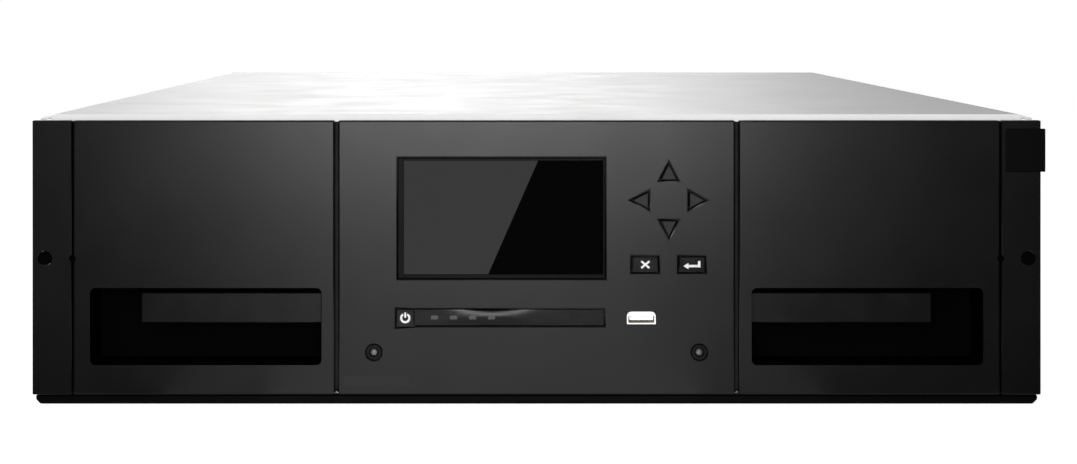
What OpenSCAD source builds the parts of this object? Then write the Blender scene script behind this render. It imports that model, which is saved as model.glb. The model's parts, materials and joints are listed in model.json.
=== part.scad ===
// Data tape library, three rack units high. Two magazines of cartridges slide out at the front.
// A picker travels down the aisle between them, and three tape drives sit at the back.
// X is the width, +Y runs from the front panel to the back, +Z is up, and the base rests on Z = 0.

/* [Front panel] */
// Width of each rack ear strip
ear_w = 19; // [18:0.5:21]
// Distance between the gaps on each side of the centre panel
centre_w = 189.4; // [188:0.2:192]
// Width of the gap between the centre panel and a magazine
panel_gap = 1.8; // [1:0.1:2.4]
// Width of the fine seam between a magazine and its ear
seam_gap = 0.6; // [0.4:0.1:1]
// Thickness of the moulded front plates
bezel_t = 6; // [5:0.5:8]
// Thickness of the steel front frame and its ears
frame_t = 2; // [1.5:0.25:3]

/* [Rack fixing] */
// Distance from the outer edge of an ear to the centre of its rack hole
ear_hole_edge = 5.95; // [5:0.05:7]
// Diameter of the rack ear holes
ear_hole_d = 7; // [6.5:0.1:7.5]
// Diameter of the release pin holes on the magazine seams
pin_hole_d = 3.3; // [2.5:0.1:4]

/* [Cartridges and slots] */
// Length of a cartridge, across the machine
cart_w = 105.4; // [104:0.1:107]
// Width of a cartridge, along the machine
cart_d = 102; // [100:0.1:104]
// Thickness of a cartridge
cart_h = 21.5; // [21:0.1:22]
// Free space at each side of a cartridge in its slot
slot_side_gap = 1; // [0.8:0.1:1.5]
// Free space above a cartridge in its slot
slot_headroom = 4; // [3.6:0.1:4.4]
// Thickness of the magazine dividers and shelves
divider_t = 2.5; // [2:0.1:3]
// Space between a cartridge and the outer face of its magazine
magazine_side = 13.6; // [11:0.1:16]

/* [Handles] */
// Distance from the outer edge of a magazine plate to its finger recess
recess_side = 8.3; // [7:0.1:12]
// Height of the finger recess
recess_h = 36.5; // [34:0.5:40]
// Depth of the finger recess behind the front plate
recess_depth = 28; // [24:1:34]
// Space beside the grip bar, at the outer end of the recess
grip_side = 23.1; // [15:0.1:40]
// Height of the grip bar
grip_h = 14.6; // [12:0.2:16]
// Thickness of the grip bar
grip_t = 3; // [2.5:0.1:4]

/* [Operator panel] */
// Width of the display
lcd_w = 98.2; // [94:0.2:102]
// Height of the display
lcd_h = 57.3; // [54:0.1:60]
// Distance from the middle of the arrow keys to each key
key_ring_r = 13.5; // [12.5:0.1:14.5]
// Length of a side of an arrow key
arrow_size = 7.6; // [7:0.2:9]
// Width of the cancel and enter keys
wide_key_w = 12.2; // [11:0.1:13]
// Height of the cancel and enter keys
wide_key_h = 7.1; // [6:0.1:8]
// Side of the power button
power_size = 8.3; // [7:0.1:9]
// Gap around a key in its hole
key_gap = 0.4; // [0.3:0.05:0.6]
// Distance that a key can be pressed
key_travel = 1; // [0.5:0.1:1.2]

/* [Case] */
// Height of the plinth under the machine
plinth_h = 4.2; // [3.5:0.1:6]
// Thickness of the chassis sheet
sheet = 1.5; // [1:0.1:2]
// Thickness of the outer cover sheet
cover_t = 1.2; // [1:0.1:1.5]
// Space between the chassis wall and the cover at each side
cover_side = 13; // [11:0.5:15]
// Depth of the rear bay that holds the drives and supplies
rear_bay = 225; // [222:1:260]
// Reach of the rear pull handles behind the back panel
handle_reach = 13; // [11:0.5:20]

/* [Drives and supplies] */
// Width of a tape drive
drive_w = 146; // [144:0.5:147]
// Height of a power supply
psu_h = 54; // [45:1:55]
// Diameter of the rear fan blades
fan_d = 52; // [40:1:54]

/* [Hidden] */
$fn = 48;
levels = 4;
columns = 5;
drives = 3;
eps = 0.5;          // how far a piece reaches into its neighbour when the two are joined
flat_gap = 0.3;     // clearance between pieces that pass or rest beside each other
run_gap = 0.05;     // radial clearance of a shaft in its bearing
screw_gap = 0.3;    // radial clearance around a screw

// Heights
level_pitch = cart_h + divider_t + slot_headroom;
front_bottom = plinth_h + flat_gap;
front_top = plinth_h + levels * level_pitch + 18;
frame_inset = 0.8;
tray_top = plinth_h + sheet;
slot_z0 = plinth_h + 12.8;
shelf_z0 = slot_z0 - divider_t;
roof_t = 2;
roof_top = slot_z0 + levels * level_pitch - divider_t + 0.5;
cover_top = front_top + 2.7;
cover_under = cover_top - cover_t;
hem_bottom = front_top - 1.3;
low_wall_top = hem_bottom - 0.4;

// Widths, from the middle
gap_x = centre_w / 2;
mag_in = gap_x + 2.8;
stop_gap = 2;
mag_out = mag_in + stop_gap + cart_w + magazine_side;
seam_x = mag_out + 1;
front_w = 2 * (seam_x + ear_w);
ear_hole_spacing = front_w - 2 * ear_hole_edge;
chassis_in = mag_out + 3;
chassis_out = chassis_in + sheet;
cover_x = chassis_out + cover_side;
plinth_x = cover_x + 1;

// Depths, from the front face
frame_back = bezel_t + frame_t;
hem_v = frame_back + flat_gap;
column_pitch = cart_d + 2 * slot_side_gap + divider_t;
slots_v0 = frame_back + 52;
axis_v0 = slots_v0 + column_pitch / 2;
slots_v1 = slots_v0 + columns * column_pitch;
travel_v = (columns - 1) * column_pitch;
bulkhead_v = slots_v1 + 39.5;
bay_v = bulkhead_v + sheet;
panel_v = bay_v + rear_bay;
panel_back = panel_v + sheet;
depth = panel_back + handle_reach;
skirt_v = frame_back + 37;

// Finger recess and grip
recess_x0 = gap_x + 7;
recess_w = seam_x - recess_side - recess_x0;
grip_w = recess_w - flat_gap - grip_side;
recess_z0 = plinth_h + 14.3;
recess_wall = 1.3;
recess_r = 2.5;
recess_back = bezel_t + recess_depth;
grip_z0 = recess_z0 + recess_h - 2.9 - grip_h;
grip_v = bezel_t + 2;
seam_hole_z = plinth_h + 64.8;

// Operator panel
panel_x = gap_x - panel_gap / 2;
lcd_x0 = -16.6 - lcd_w / 2;
lcd_z0 = front_top - 74.9;
led_x = [lcd_x0 + 7.6, lcd_x0 + lcd_w - 0.5];
led_z = [plinth_h + 32.8, plinth_h + 40.8];
usb_x = [42.4, 56.7];
usb_z = [plinth_h + 33.3, plinth_h + 39.9];
key_x = 62.6;
key_z = front_top - 37.7;
cancel_x = 51.4;
enter_x = 73.5;
wide_key_z = front_top - 68.1;
power_x = lcd_x0 + 3.6;
power_z = plinth_h + 36.6;
screw_x = 77;
screw_z = plinth_h + 20.3;
screw_head_r = 4;
screw_r = 2;
pin_r = 0.7;
window_x = [lcd_x0 - 4.3, 84];
window_z = [plinth_h + 29.8, roof_top - 6];
board_margin = 6;
board_v = frame_back + 6;
board_t = 1.6;
stud_r = 2;
switch_v = board_v - 0.8;
stem_v = switch_v - key_travel - flat_gap;
key_face = 0.4;
badge_w = 18.8;
badge_h = 20.4;
badge_t = 1.6;
badge_over = 1.9;

// Picker
carriage_x = mag_in - 5.5;
carriage_y = cart_d / 2 + 41;
base_z = [tray_top + 1.3, tray_top + 3.3];
rod_x = carriage_x - 5;
rod_r = 3;
rod_z = tray_top + rod_r + 0.8;
ring_z = [roof_top, roof_top + 2];
post_x = carriage_x - 20;
post_y = carriage_y - 8;
post_r = 3;
platform_z = [base_z[1] + 0.5, base_z[1] + 3.5];
platform_x = carriage_x - 12;
lead_x = -48;
lift_travel = (levels - 1) * level_pitch;
disc_r = carriage_x - 6;
disc_z = [platform_z[1] + flat_gap, slot_z0 - 1.5];
hub_r = 6;
picker_r = disc_r - 2;
held_z = slot_z0 + flat_gap;
guide_y = cart_d / 2 + 1.5;
guide_t = 1.5;
guide_top = held_z + cart_h + 2.2;
turret_motor_x = 52;
turret_motor_y = -post_y;
turret_motor_r = 9;
wheel_r = norm([turret_motor_x, turret_motor_y]) - disc_r - flat_gap;
shaft_r = 1.5;
grip_edge = cart_w / 2;
grip_travel = mag_in + stop_gap + cart_w / 2;
finger_pin = 5;
finger_y = cart_d / 2 - 2;
finger_z = [held_z + 4.5, held_z + 15.7];

// Belt that pulls the carriage
pulley_r = 7;
belt_in = pulley_r + flat_gap;
belt_t = 1.4;
belt_z = [ring_z[1] + 0.3, ring_z[1] + 3.3];
idler_v = frame_back + 9.5;
y_motor_w = 20;
cage_x = drive_w / 2 + 2.5;
belt_x = cage_x + sheet + 1 + y_motor_w / 2;
y_motor_v = bay_v + y_motor_w / 2;
pulley_shaft_r = 2;

// Rear bay
drive_pitch = level_pitch * 1.5;
drive_h = drive_pitch - 1.4;
drive_z0 = tray_top + 2;
drive_v = bay_v + 1;
bay_x = cart_w / 2 + 0.3;
bay_depth = 112;
plate_t = 2;
psu_x0 = -(chassis_in - 17);
psu_x1 = -(cage_x + 7);
psu_z0 = tray_top + flat_gap;
psu_v = bay_v + 28;
shelf_top = psu_z0 + psu_h + 2.4;
control_x = [cage_x + 28, chassis_in - 16];
control_z = [tray_top + flat_gap, tray_top + 52.3];
control_v = bay_v + 66;
fan_x = chassis_in - 68;
fan_z = tray_top + 90;
fan_v = [panel_v - 12.5, panel_v - 2.5];
flange_w = 10;

// ---- helpers ----------------------------------------------------------------

// Moves a piece from "distance behind the front face" to the shared frame
module placed() translate([0, -depth / 2, 0]) children();

// A block from three pairs of limits
module slab(x, v, z)
    translate([x[0], v[0], z[0]]) cube([x[1] - x[0], v[1] - v[0], z[1] - z[0]]);

// Extrudes an outline drawn as seen from the front
module facing(v) translate([0, v[1], 0]) rotate([90, 0, 0]) linear_extrude(v[1] - v[0]) children();

module rod_y(x, z, r, v) translate([x, v[0], z]) rotate([-90, 0, 0]) cylinder(h = v[1] - v[0], r = r);
module rod_x(v, z, r, x) translate([x[0], v, z]) rotate([0, 90, 0]) cylinder(h = x[1] - x[0], r = r);
module post_z(x, v, r, z) translate([x, v, z[0]]) cylinder(h = z[1] - z[0], r = r);

module both_sides() {
    children();
    mirror([1, 0, 0]) children();
}

module round_rect(x, z, r) {
    translate([x[0] + r, z[0]]) square([x[1] - x[0] - 2 * r, z[1] - z[0]]);
    translate([x[0], z[0] + r]) square([x[1] - x[0], z[1] - z[0] - 2 * r]);
    for (cx = [x[0] + r, x[1] - r], cz = [z[0] + r, z[1] - r])
        translate([cx, cz]) circle(r = r);
}

module rack_hole() rod_y(ear_hole_spacing / 2, seam_hole_z, ear_hole_d / 2, [-1, frame_back + 1]);
module seam_hole() rod_y(seam_x, seam_hole_z, pin_hole_d / 2, [-1, frame_back + 1]);

// Outline of an arrow key that points along +X, grown by g on each side
module arrow(g) {
    a = arrow_size / 2;
    polygon([[a + 2 * g, 0], [-a - g, a + 2 * g], [-a - g, -a - 2 * g]]);
}

module arrow_at(turn, g)
    translate([key_x, key_z]) rotate(turn) translate([key_ring_r, 0]) arrow(g);

module rect_at(x, z, w, h, g) translate([x - w / 2 - g, z - h / 2 - g]) square([w + 2 * g, h + 2 * g]);

// ---- chassis ----------------------------------------------------------------

module base_tray() placed() color("silver") {
    slab([-chassis_out, chassis_out], [frame_back, panel_v], [plinth_h, tray_top]);
    both_sides() {
        slab([chassis_in, chassis_out], [frame_back, panel_v], [plinth_h, low_wall_top]);
        slab([chassis_in, chassis_out], [hem_v + cover_t + flat_gap, panel_v], [low_wall_top - eps, cover_under]);
        slab([chassis_in - flange_w, chassis_out], [hem_v + cover_t + flat_gap, panel_v],
             [cover_under - sheet, cover_under]);
        difference() {
            slab([chassis_in - flange_w, chassis_in + eps], [panel_v - sheet, panel_v], [tray_top - eps, cover_under]);
            rear_screw_holes();
        }
    }
}

module rear_screw_holes()
    for (z = rear_screw_z())
        rod_y(chassis_in - flange_w / 2, z, screw_r + screw_gap, [panel_v - 10, panel_back + 1]);

function rear_screw_z() = [plinth_h + 21, (plinth_h + front_top) / 2, front_top - 21];

module front_frame() placed() color("dimgray") {
    difference() {
        facing([bezel_t, frame_back])
            translate([-front_w / 2, plinth_h + frame_inset])
                square([front_w, front_top - plinth_h - 2 * frame_inset]);
        both_sides() {
            slab([mag_in - 0.6, mag_out + 0.6], [bezel_t - 1, frame_back + 1], [shelf_z0 - 0.6, roof_top + 0.6]);
            rack_hole();
            seam_hole();
            rod_y(screw_x, screw_z, screw_r + screw_gap, [bezel_t - 1, frame_back + 1]);
        }
        slab(window_x, [bezel_t - 1, frame_back + 1], window_z);
    }
    for (x = stud_xs(), z = stud_zs())
        rod_y(x, z, stud_r, [frame_back - eps, board_v]);
    difference() {
        slab([belt_x - 7, belt_x + 7], [frame_back - eps, idler_v + 3], ring_z);
        slab([mag_in - 0.6, mag_out], [frame_back - 1, idler_v + 4], [ring_z[0] - 1, ring_z[1] + 1]);
    }
    post_z(belt_x, idler_v, pulley_shaft_r, [ring_z[0] + eps, belt_z[1] + 0.5]);
    // locating pins that show in the gaps beside the centre panel
    both_sides()
        rod_y(gap_x, plinth_h + 1.6, pin_r, [1, bezel_t + eps]);
}

function stud_xs() = [window_x[0] - board_margin / 2, window_x[1] + board_margin / 2];
function stud_zs() = [window_z[0] - board_margin / 2, window_z[1] + board_margin / 2];

module rear_panel() placed() color("silver") {
    difference() {
        slab([-chassis_out, chassis_out], [panel_v, panel_back], [plinth_h, cover_under]);
        slab([-cage_x + 1.5, cage_x - 1.5], [panel_v - 1, panel_back + 1],
             [drive_z0 - 0.8, drive_z0 + drives * drive_pitch]);
        for (i = [0, 1])
            slab([psu_x0 - 0.4, psu_x1 + 0.4], [panel_v - 1, panel_back + 1],
                 [psu_bottom(i) - 0.25, psu_bottom(i) + psu_h + 0.4]);
        slab([control_x[0] - 0.4, control_x[1] + 0.4], [panel_v - 1, panel_back + 1],
             [control_z[0] - 0.25, control_z[1] + 0.4]);
        rod_y(fan_x, fan_z, fan_d / 2 + 2, [panel_v - 1, panel_back + 1]);
        both_sides() rear_screw_holes();
    }
    // guard of the fan, with the boss and the spindle that carry it
    for (r = [fan_d / 2 - 4, fan_d / 2 - 13])
        translate([fan_x, panel_v, fan_z]) rotate([-90, 0, 0])
            difference() {
                cylinder(h = sheet, r = r);
                translate([0, 0, -1]) cylinder(h = sheet + 2, r = r - 1.6);
            }
    for (turn = [45, 135])
        translate([fan_x, panel_v, fan_z]) rotate([0, turn, 0])
            translate([-fan_d / 2 - 2.5, 0, -0.9]) cube([fan_d + 5, sheet, 1.8]);
    rod_y(fan_x, fan_z, 8, [panel_v, panel_back]);
    rod_y(fan_x, fan_z, shaft_r, [fan_v[0], panel_v + eps]);
    translate([fan_x, fan_v[0] - 1, fan_z]) rotate([-90, 0, 0])
        difference() {
            cylinder(h = panel_v - fan_v[0] + 1 + eps, r = fan_d / 2 + 3.6);
            translate([0, 0, -1]) cylinder(h = panel_v - fan_v[0] + 3, r = fan_d / 2 + 2);
        }
}

module bulkhead() placed() color("gainsboro")
    difference() {
        slab([-chassis_in, chassis_in], [bulkhead_v, bay_v], [tray_top, ring_z[0] + 1.5]);
        for (k = [0:drives - 1])
            slab([-bay_x - 2, bay_x + 2], [bulkhead_v - 1, bay_v + 1],
                 [held_z - 2.3 + k * drive_pitch, held_z + cart_h + 2.2 + k * drive_pitch]);
    }

module base_plinth() placed() color("black") {
    chamfer = 2;
    difference() {
        facing([1.5, panel_back])
            polygon([[-plinth_x, plinth_h], [-plinth_x, chamfer], [-plinth_x + chamfer, 0],
                     [plinth_x - chamfer, 0], [plinth_x, chamfer], [plinth_x, plinth_h]]);
        slab([-plinth_x + 4, plinth_x - 4], [5.5, panel_back - 4], [-1, plinth_h - cover_t]);
    }
    both_sides() difference() {
        slab([skirt_in() - flat_gap - cover_t, skirt_in() - flat_gap], [skirt_v + 15, panel_back - 20],
             [plinth_h - eps, plinth_h + 15.8]);
        side_screw_holes();
    }
}

function skirt_in() = cover_x - cover_t;
function side_screw_vs() = [for (i = [0:3]) skirt_v + 55 + i * (panel_back - skirt_v - 120) / 3];

module side_screw_holes()
    for (v = side_screw_vs())
        rod_x(v, plinth_h + 8, screw_r + screw_gap, [skirt_in() - 6, cover_x + 1]);

module top_cover() placed() color("lightgray") {
    drop = 1.9;
    slope = 6.6;
    difference() {
        facing([hem_v, panel_back])
            polygon([[-cover_x, plinth_h], [-cover_x, cover_top - drop], [-cover_x + slope, cover_top],
                     [cover_x - slope, cover_top], [cover_x, cover_top - drop], [cover_x, plinth_h],
                     [skirt_in(), plinth_h], [skirt_in(), cover_under - drop], [cover_x - slope, cover_under],
                     [-cover_x + slope, cover_under], [-skirt_in(), cover_under - drop], [-skirt_in(), plinth_h]]);
        slab([-cover_x - 1, cover_x + 1], [hem_v - 1, skirt_v], [plinth_h - 1, front_top]);
        both_sides() side_screw_holes();
    }
    slab([-cover_x + 5, cover_x - 5], [hem_v, hem_v + cover_t], [hem_bottom, cover_under + cover_t / 2]);
    both_sides()
        for (v = [skirt_v, panel_back - cover_t])
            slab([chassis_out + flat_gap, skirt_in() + cover_t / 2], [v, v + cover_t], [plinth_h, cover_under - 2]);
}

module screw_x(v, z) {
    rod_x(v, z, screw_head_r - 0.5, [cover_x, cover_x + 1.4]);
    rod_x(v, z, screw_r, [skirt_in() - 5, cover_x + eps]);
}

module case_screws() placed() color("gray") both_sides() {
    for (v = side_screw_vs())
        screw_x(v, plinth_h + 8);
    for (z = rear_screw_z()) {
        rod_y(chassis_in - flange_w / 2, z, screw_head_r - 0.5, [panel_back, panel_back + 1.6]);
        rod_y(chassis_in - flange_w / 2, z, screw_r, [panel_v - 6, panel_back + eps]);
    }
}

// ---- front plates -----------------------------------------------------------

module ear_cap() difference() {
    slab([seam_x + seam_gap / 2, front_w / 2], [0, bezel_t], [front_bottom, front_top]);
    rack_hole();
    seam_hole();
}

module left_ear_cap() placed() color("dimgray") mirror([1, 0, 0]) ear_cap();
module right_ear_cap() placed() color("dimgray") ear_cap();

module badge_plate() placed() color("black")
    slab([front_w / 2 + badge_over - badge_w, front_w / 2 + badge_over], [-badge_t, 0],
         [front_top - 3.8 - badge_h, front_top - 3.8]);

module center_bezel() placed() color("dimgray")
    difference() {
        slab([-panel_x, panel_x], [0, bezel_t], [front_bottom, front_top]);
        facing([-1, bezel_t + 1]) {
            translate([lcd_x0, lcd_z0]) square([lcd_w, lcd_h]);
            translate([led_x[0], led_z[0]]) square([led_x[1] - led_x[0], led_z[1] - led_z[0]]);
            for (turn = [0:90:270])
                arrow_at(turn, key_gap);
            rect_at(cancel_x, wide_key_z, wide_key_w, wide_key_h, key_gap);
            rect_at(enter_x, wide_key_z, wide_key_w, wide_key_h, key_gap);
            rect_at(power_x, power_z, power_size, power_size, key_gap);
            round_rect(usb_x, usb_z, 1);
        }
        both_sides() {
            rod_y(screw_x, screw_z, screw_head_r + screw_gap, [-1, bezel_t - 2]);
            rod_y(screw_x, screw_z, screw_r + screw_gap, [-1, bezel_t + 1]);
        }
    }

module panel_screws() placed() color("gray") both_sides() {
    difference() {
        rod_y(screw_x, screw_z, screw_head_r, [1.2, bezel_t - 2]);
        slab([screw_x - 2.6, screw_x + 2.6], [1, 2.4], [screw_z - 0.6, screw_z + 0.6]);
    }
    rod_y(screw_x, screw_z, screw_r, [bezel_t - 2 - eps, frame_back + 4]);
}

module lcd_module() placed() color("black") {
    slab([lcd_x0 + flat_gap, lcd_x0 + lcd_w - flat_gap], [1, board_v],
         [lcd_z0 + flat_gap, lcd_z0 + lcd_h - flat_gap]);
    slab([lcd_x0 + 2.9, lcd_x0 + lcd_w - 1], [0.3, 1 + eps], [lcd_z0 + 0.9, lcd_z0 + lcd_h - 1.4]);
}

// The window is shorter behind the plate, where the flange of the power button is beside it
module led_window() placed() color("black") {
    z = [led_z[0] + flat_gap, led_z[1] - flat_gap];
    slab([led_x[0] + flat_gap, led_x[1] - flat_gap], [0.3, bezel_t], z);
    slab([power_x + power_size / 2 + 4, led_x[1] - flat_gap], [bezel_t - eps, board_v], z);
}

module usb_port() placed() color("white")
    difference() {
        facing([0.4, board_v]) round_rect([usb_x[0] + flat_gap, usb_x[1] - flat_gap],
                                          [usb_z[0] + flat_gap, usb_z[1] - flat_gap], 0.7);
        slab([usb_x[0] + 0.9, usb_x[1] - 0.9], [0, board_v - 1.2], [usb_z[0] + 0.9, usb_z[1] - 0.9]);
    }

module panel_board() placed() color("darkgreen") {
    slab([window_x[0] - board_margin, window_x[1] + board_margin], [board_v, board_v + board_t],
         [window_z[0] - board_margin, window_z[1] + board_margin]);
    for (p = key_spots())
        slab([p[0] - 3, p[0] + 3], [switch_v, board_v + eps], [p[1] - 3, p[1] + 3]);
}

function key_spots() = [
    [key_x + key_ring_r, key_z], [key_x - key_ring_r, key_z],
    [key_x, key_z + key_ring_r], [key_x, key_z - key_ring_r],
    [cancel_x, wide_key_z], [enter_x, wide_key_z], [power_x, power_z]
];

// The stem and the flange that keep a key in its hole
module key_stem(x, z, w, h) {
    slab([x - w / 2, x + w / 2], [bezel_t + flat_gap, bezel_t + 1.3], [z - h / 2, z + h / 2]);
    rod_y(x, z, 2.4, [bezel_t, stem_v]);
}

module arrow_key(turn) placed() color("dimgray") {
    facing([-key_face, bezel_t + 1]) arrow_at(turn, 0);
    flange = arrow_size + 2.8;
    key_stem(key_x + key_ring_r * cos(turn), key_z + key_ring_r * sin(turn), flange, flange);
}

module rect_key(x, z, w, h) placed() color("dimgray") {
    facing([-key_face, bezel_t + 1]) rect_at(x, z, w, h, 0);
    key_stem(x, z, w + 2.4, h + 2.4);
}

module up_key() arrow_key(90);
module down_key() arrow_key(270);
module left_key() arrow_key(180);
module right_key() arrow_key(0);
module cancel_key() rect_key(cancel_x, wide_key_z, wide_key_w, wide_key_h);
module enter_key() rect_key(enter_x, wide_key_z, wide_key_w, wide_key_h);
module power_button() rect_key(power_x, power_z, power_size, power_size);

// ---- magazines --------------------------------------------------------------

// The side of the machine that a piece is on: 1 is the right, -1 the left
module on_side(side) mirror([side < 0 ? 1 : 0, 0, 0]) children();

module magazine_tray(side) placed() color("dimgray") on_side(side) {
    wall_x = mag_out - divider_t;
    end_v = slots_v1 + divider_t / 2;
    for (k = [0:levels - 1])
        slab([mag_in, wall_x + eps], [slots_v0 - divider_t / 2, end_v],
             [shelf_z0 + k * level_pitch, slot_z0 + k * level_pitch]);
    slab([mag_in, wall_x + eps], [bezel_t, slots_v0], [shelf_z0, shelf_z0 + divider_t]);
    slab([mag_in, wall_x + eps], [bezel_t, end_v], [roof_top - roof_t, roof_top]);
    slab([wall_x, mag_out], [bezel_t, end_v], [shelf_z0, roof_top]);
    slab([mag_in, mag_in + divider_t], [bezel_t, slots_v0], [shelf_z0, roof_top]);
    for (c = [0:columns]) {
        v = slots_v0 + c * column_pitch;
        slab([mag_in, wall_x + eps], [v - divider_t / 2, v + divider_t / 2], [shelf_z0, roof_top]);
    }
    // ribs that stop the cartridges
    for (c = [0:columns - 1], off = [-25, 25]) {
        v = axis_v0 + c * column_pitch + off;
        slab([mag_in + stop_gap + cart_w + flat_gap, wall_x + eps], [v - 1.2, v + 1.2], [shelf_z0, roof_top]);
    }
}

module magazine_bezel(side) placed() color("dimgray") on_side(side)
    difference() {
        union() {
            slab([gap_x + panel_gap / 2, seam_x - seam_gap / 2], [0, bezel_t], [front_bottom, front_top]);
            slab([recess_x0 - recess_wall, recess_x0 + recess_w + recess_wall],
                 [bezel_t - eps, recess_back + recess_wall],
                 [recess_z0 - recess_wall, recess_z0 + recess_h + recess_wall]);
        }
        facing([-1, recess_back])
            round_rect([recess_x0, recess_x0 + recess_w], [recess_z0, recess_z0 + recess_h], recess_r);
        seam_hole();
    }

module grip(side) placed() color("dimgray") on_side(side) {
    x0 = recess_x0 + flat_gap;
    x1 = x0 + grip_w;
    slab([x0, x1], [grip_v, grip_v + grip_t], [grip_z0, grip_z0 + grip_h]);
    for (x = [x0, x1 - 2.4])
        slab([x, x + 2.4], [grip_v + eps, recess_back], [grip_z0 + 2, grip_z0 + grip_h]);
}

// One cartridge, with its grip edge on X = 0 and its body towards -X
module cartridge() difference() {
    translate([-cart_w, -cart_d / 2, 0]) cube([cart_w, cart_d, cart_h]);
    for (side = [0, 1]) mirror([0, side, 0]) {
        translate([-3 - eps, finger_y - 0.5, -1]) cube([4 + eps, 10, cart_h + 2]);
        translate([-12, finger_y - 1.6, -1]) cube([9, 10, cart_h + 2]);
    }
}

// The picker has the cartridge of the left magazine's first column, so that slot is empty
module cartridges(side) placed() color("darkslategray")
    for (c = [0:columns - 1], k = [0:levels - 1])
        if (side > 0 || c + k > 0)
            on_side(-side)
                translate([-mag_in - stop_gap, axis_v0 + c * column_pitch, slot_z0 + k * level_pitch]) cartridge();

module left_magazine_tray() magazine_tray(-1);
module right_magazine_tray() magazine_tray(1);
module left_magazine_bezel() magazine_bezel(-1);
module right_magazine_bezel() magazine_bezel(1);
module left_grip() grip(-1);
module right_grip() grip(1);
module left_cartridges() cartridges(-1);
module right_cartridges() cartridges(1);

module magazine_rails() placed() color("silver") both_sides()
    for (x = [mag_in + 2.5, mag_out - 6.5])
        slab([x, x + 4], [frame_back + 2, bulkhead_v], [tray_top, shelf_z0 - flat_gap]);

// ---- picker -----------------------------------------------------------------

// Places a piece of the picker about the turret's axis
module at_axis() placed() translate([0, axis_v0, 0]) children();

module guide_rods() placed() color("silver") both_sides()
    rod_y(rod_x, rod_z, rod_r, [frame_back, bulkhead_v]);

module carriage() at_axis() color("darkgray") {
    block_z = [rod_z - rod_r - 0.5, rod_z + rod_r + 1];
    slab([-platform_x - 3, platform_x + 3], [-carriage_y, carriage_y], base_z);
    both_sides() for (y = [-carriage_y + 2, carriage_y - 32])
        difference() {
            slab([platform_x + 2, carriage_x], [y, y + 30], block_z);
            rod_y(rod_x, rod_z, rod_r + run_gap, [y - 1, y + 31]);
        }
    difference() {
        slab([-platform_x, platform_x], [-carriage_y, carriage_y], ring_z);
        slab([-platform_x + 20, platform_x - 20], [-carriage_y + 22, carriage_y - 22],
             [ring_z[0] - 1, ring_z[1] + 1]);
        post_z(lead_x, -post_y, post_r + run_gap, [ring_z[0] - 1, ring_z[1] + 1]);
    }
    // clamp on the near run of the belt
    near = belt_x - belt_in - belt_t;
    slab([near - flat_gap - 3, near - flat_gap], [-15, 15], [ring_z[1] - eps, belt_z[1]]);
    slab([platform_x - 12, near - flat_gap], [-15, 15], [ring_z[0], ring_z[1]]);
}

module lift_posts() at_axis() color("silver")
    for (x = [-post_x, post_x], y = [-post_y, post_y])
        post_z(x, y, post_r, [base_z[1], ring_z[0]]);

module lift_motor() at_axis() color("dimgray") post_z(lead_x, 3 - post_y, 11, [ring_z[1], ring_z[1] + 5.8]);

module lead_screw() at_axis() color("silver")
    post_z(lead_x, -post_y, post_r, [base_z[1] + flat_gap, ring_z[1] - 0.1]);

module lift_platform() at_axis() color("lightgray")
    difference() {
        slab([-platform_x, platform_x], [-carriage_y + 2, carriage_y - 2], platform_z);
        cut = [platform_z[0] - 1, platform_z[1] + 1];
        post_z(0, 0, hub_r + run_gap, cut);
        post_z(lead_x, -post_y, post_r + run_gap, cut);
        for (x = [-post_x, post_x], y = [-post_y, post_y])
            post_z(x, y, post_r + run_gap, cut);
    }

module turret_motor() at_axis() color("dimgray") {
    plate = [disc_z[1] + 0.5, disc_z[1] + 1.5];
    reach = wheel_r + 2;
    for (x = [-reach, reach])
        post_z(turret_motor_x + x, turret_motor_y - 3, 1.5, [platform_z[1], plate[0] + eps]);
    slab([turret_motor_x - reach - 1.5, turret_motor_x + reach + 1.5],
         [turret_motor_y - 9, turret_motor_y - 1], plate);
    post_z(turret_motor_x, turret_motor_y, turret_motor_r, [plate[1] - eps, held_z + cart_h + 1]);
    post_z(turret_motor_x, turret_motor_y, shaft_r, [platform_z[1] + 0.5, plate[1]]);
}

module turret_wheel() at_axis() color("black")
    difference() {
        post_z(turret_motor_x, turret_motor_y, wheel_r, disc_z);
        post_z(turret_motor_x, turret_motor_y, shaft_r + run_gap, [disc_z[0] - 1, disc_z[1] + 1]);
    }

module turret_disc() at_axis() color("gainsboro") {
    post_z(0, 0, disc_r, disc_z);
    post_z(0, 0, hub_r, [platform_z[0], disc_z[0] + eps]);
}

module picker_guide() at_axis() color("whitesmoke") {
    wall_x = sqrt(pow(picker_r, 2) - pow(guide_y + guide_t, 2));
    intersection() {
        post_z(0, 0, picker_r, [disc_z[1], slot_z0]);
        slab([-picker_r, picker_r], [-guide_y - guide_t, guide_y + guide_t], [disc_z[1] - 1, slot_z0 + 1]);
    }
    for (s = [-1, 1])
        slab([-wall_x, wall_x], [min(s * guide_y, s * (guide_y + guide_t)), max(s * guide_y, s * (guide_y + guide_t))],
             [slot_z0 - eps, guide_top]);
}

module barcode_reader() at_axis() color("firebrick")
    slab([-20, 5], [guide_y + guide_t, guide_y + guide_t + 14], [slot_z0, slot_z0 + 18]);

module gripper_block() at_axis() color("dimgray") {
    x0 = grip_edge + 0.8;
    slab([x0, x0 + 8.5], [-finger_y + 4, finger_y - 4], [held_z, held_z + 20.7]);
    slab([x0, x0 + 8.5], [-finger_y - 2, finger_y + 2], [held_z, finger_z[0] - flat_gap]);
    slab([x0 + 8, grip_edge + 32], [-18, 18], [held_z, held_z + 13]);
    for (s = [-1, 1])
        post_z(grip_edge + finger_pin, s * finger_y, shaft_r, [held_z + 2, finger_z[1] + 1]);
}

module held_cartridge() at_axis() color("darkslategray")
    translate([grip_edge, 0, held_z]) cartridge();

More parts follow.
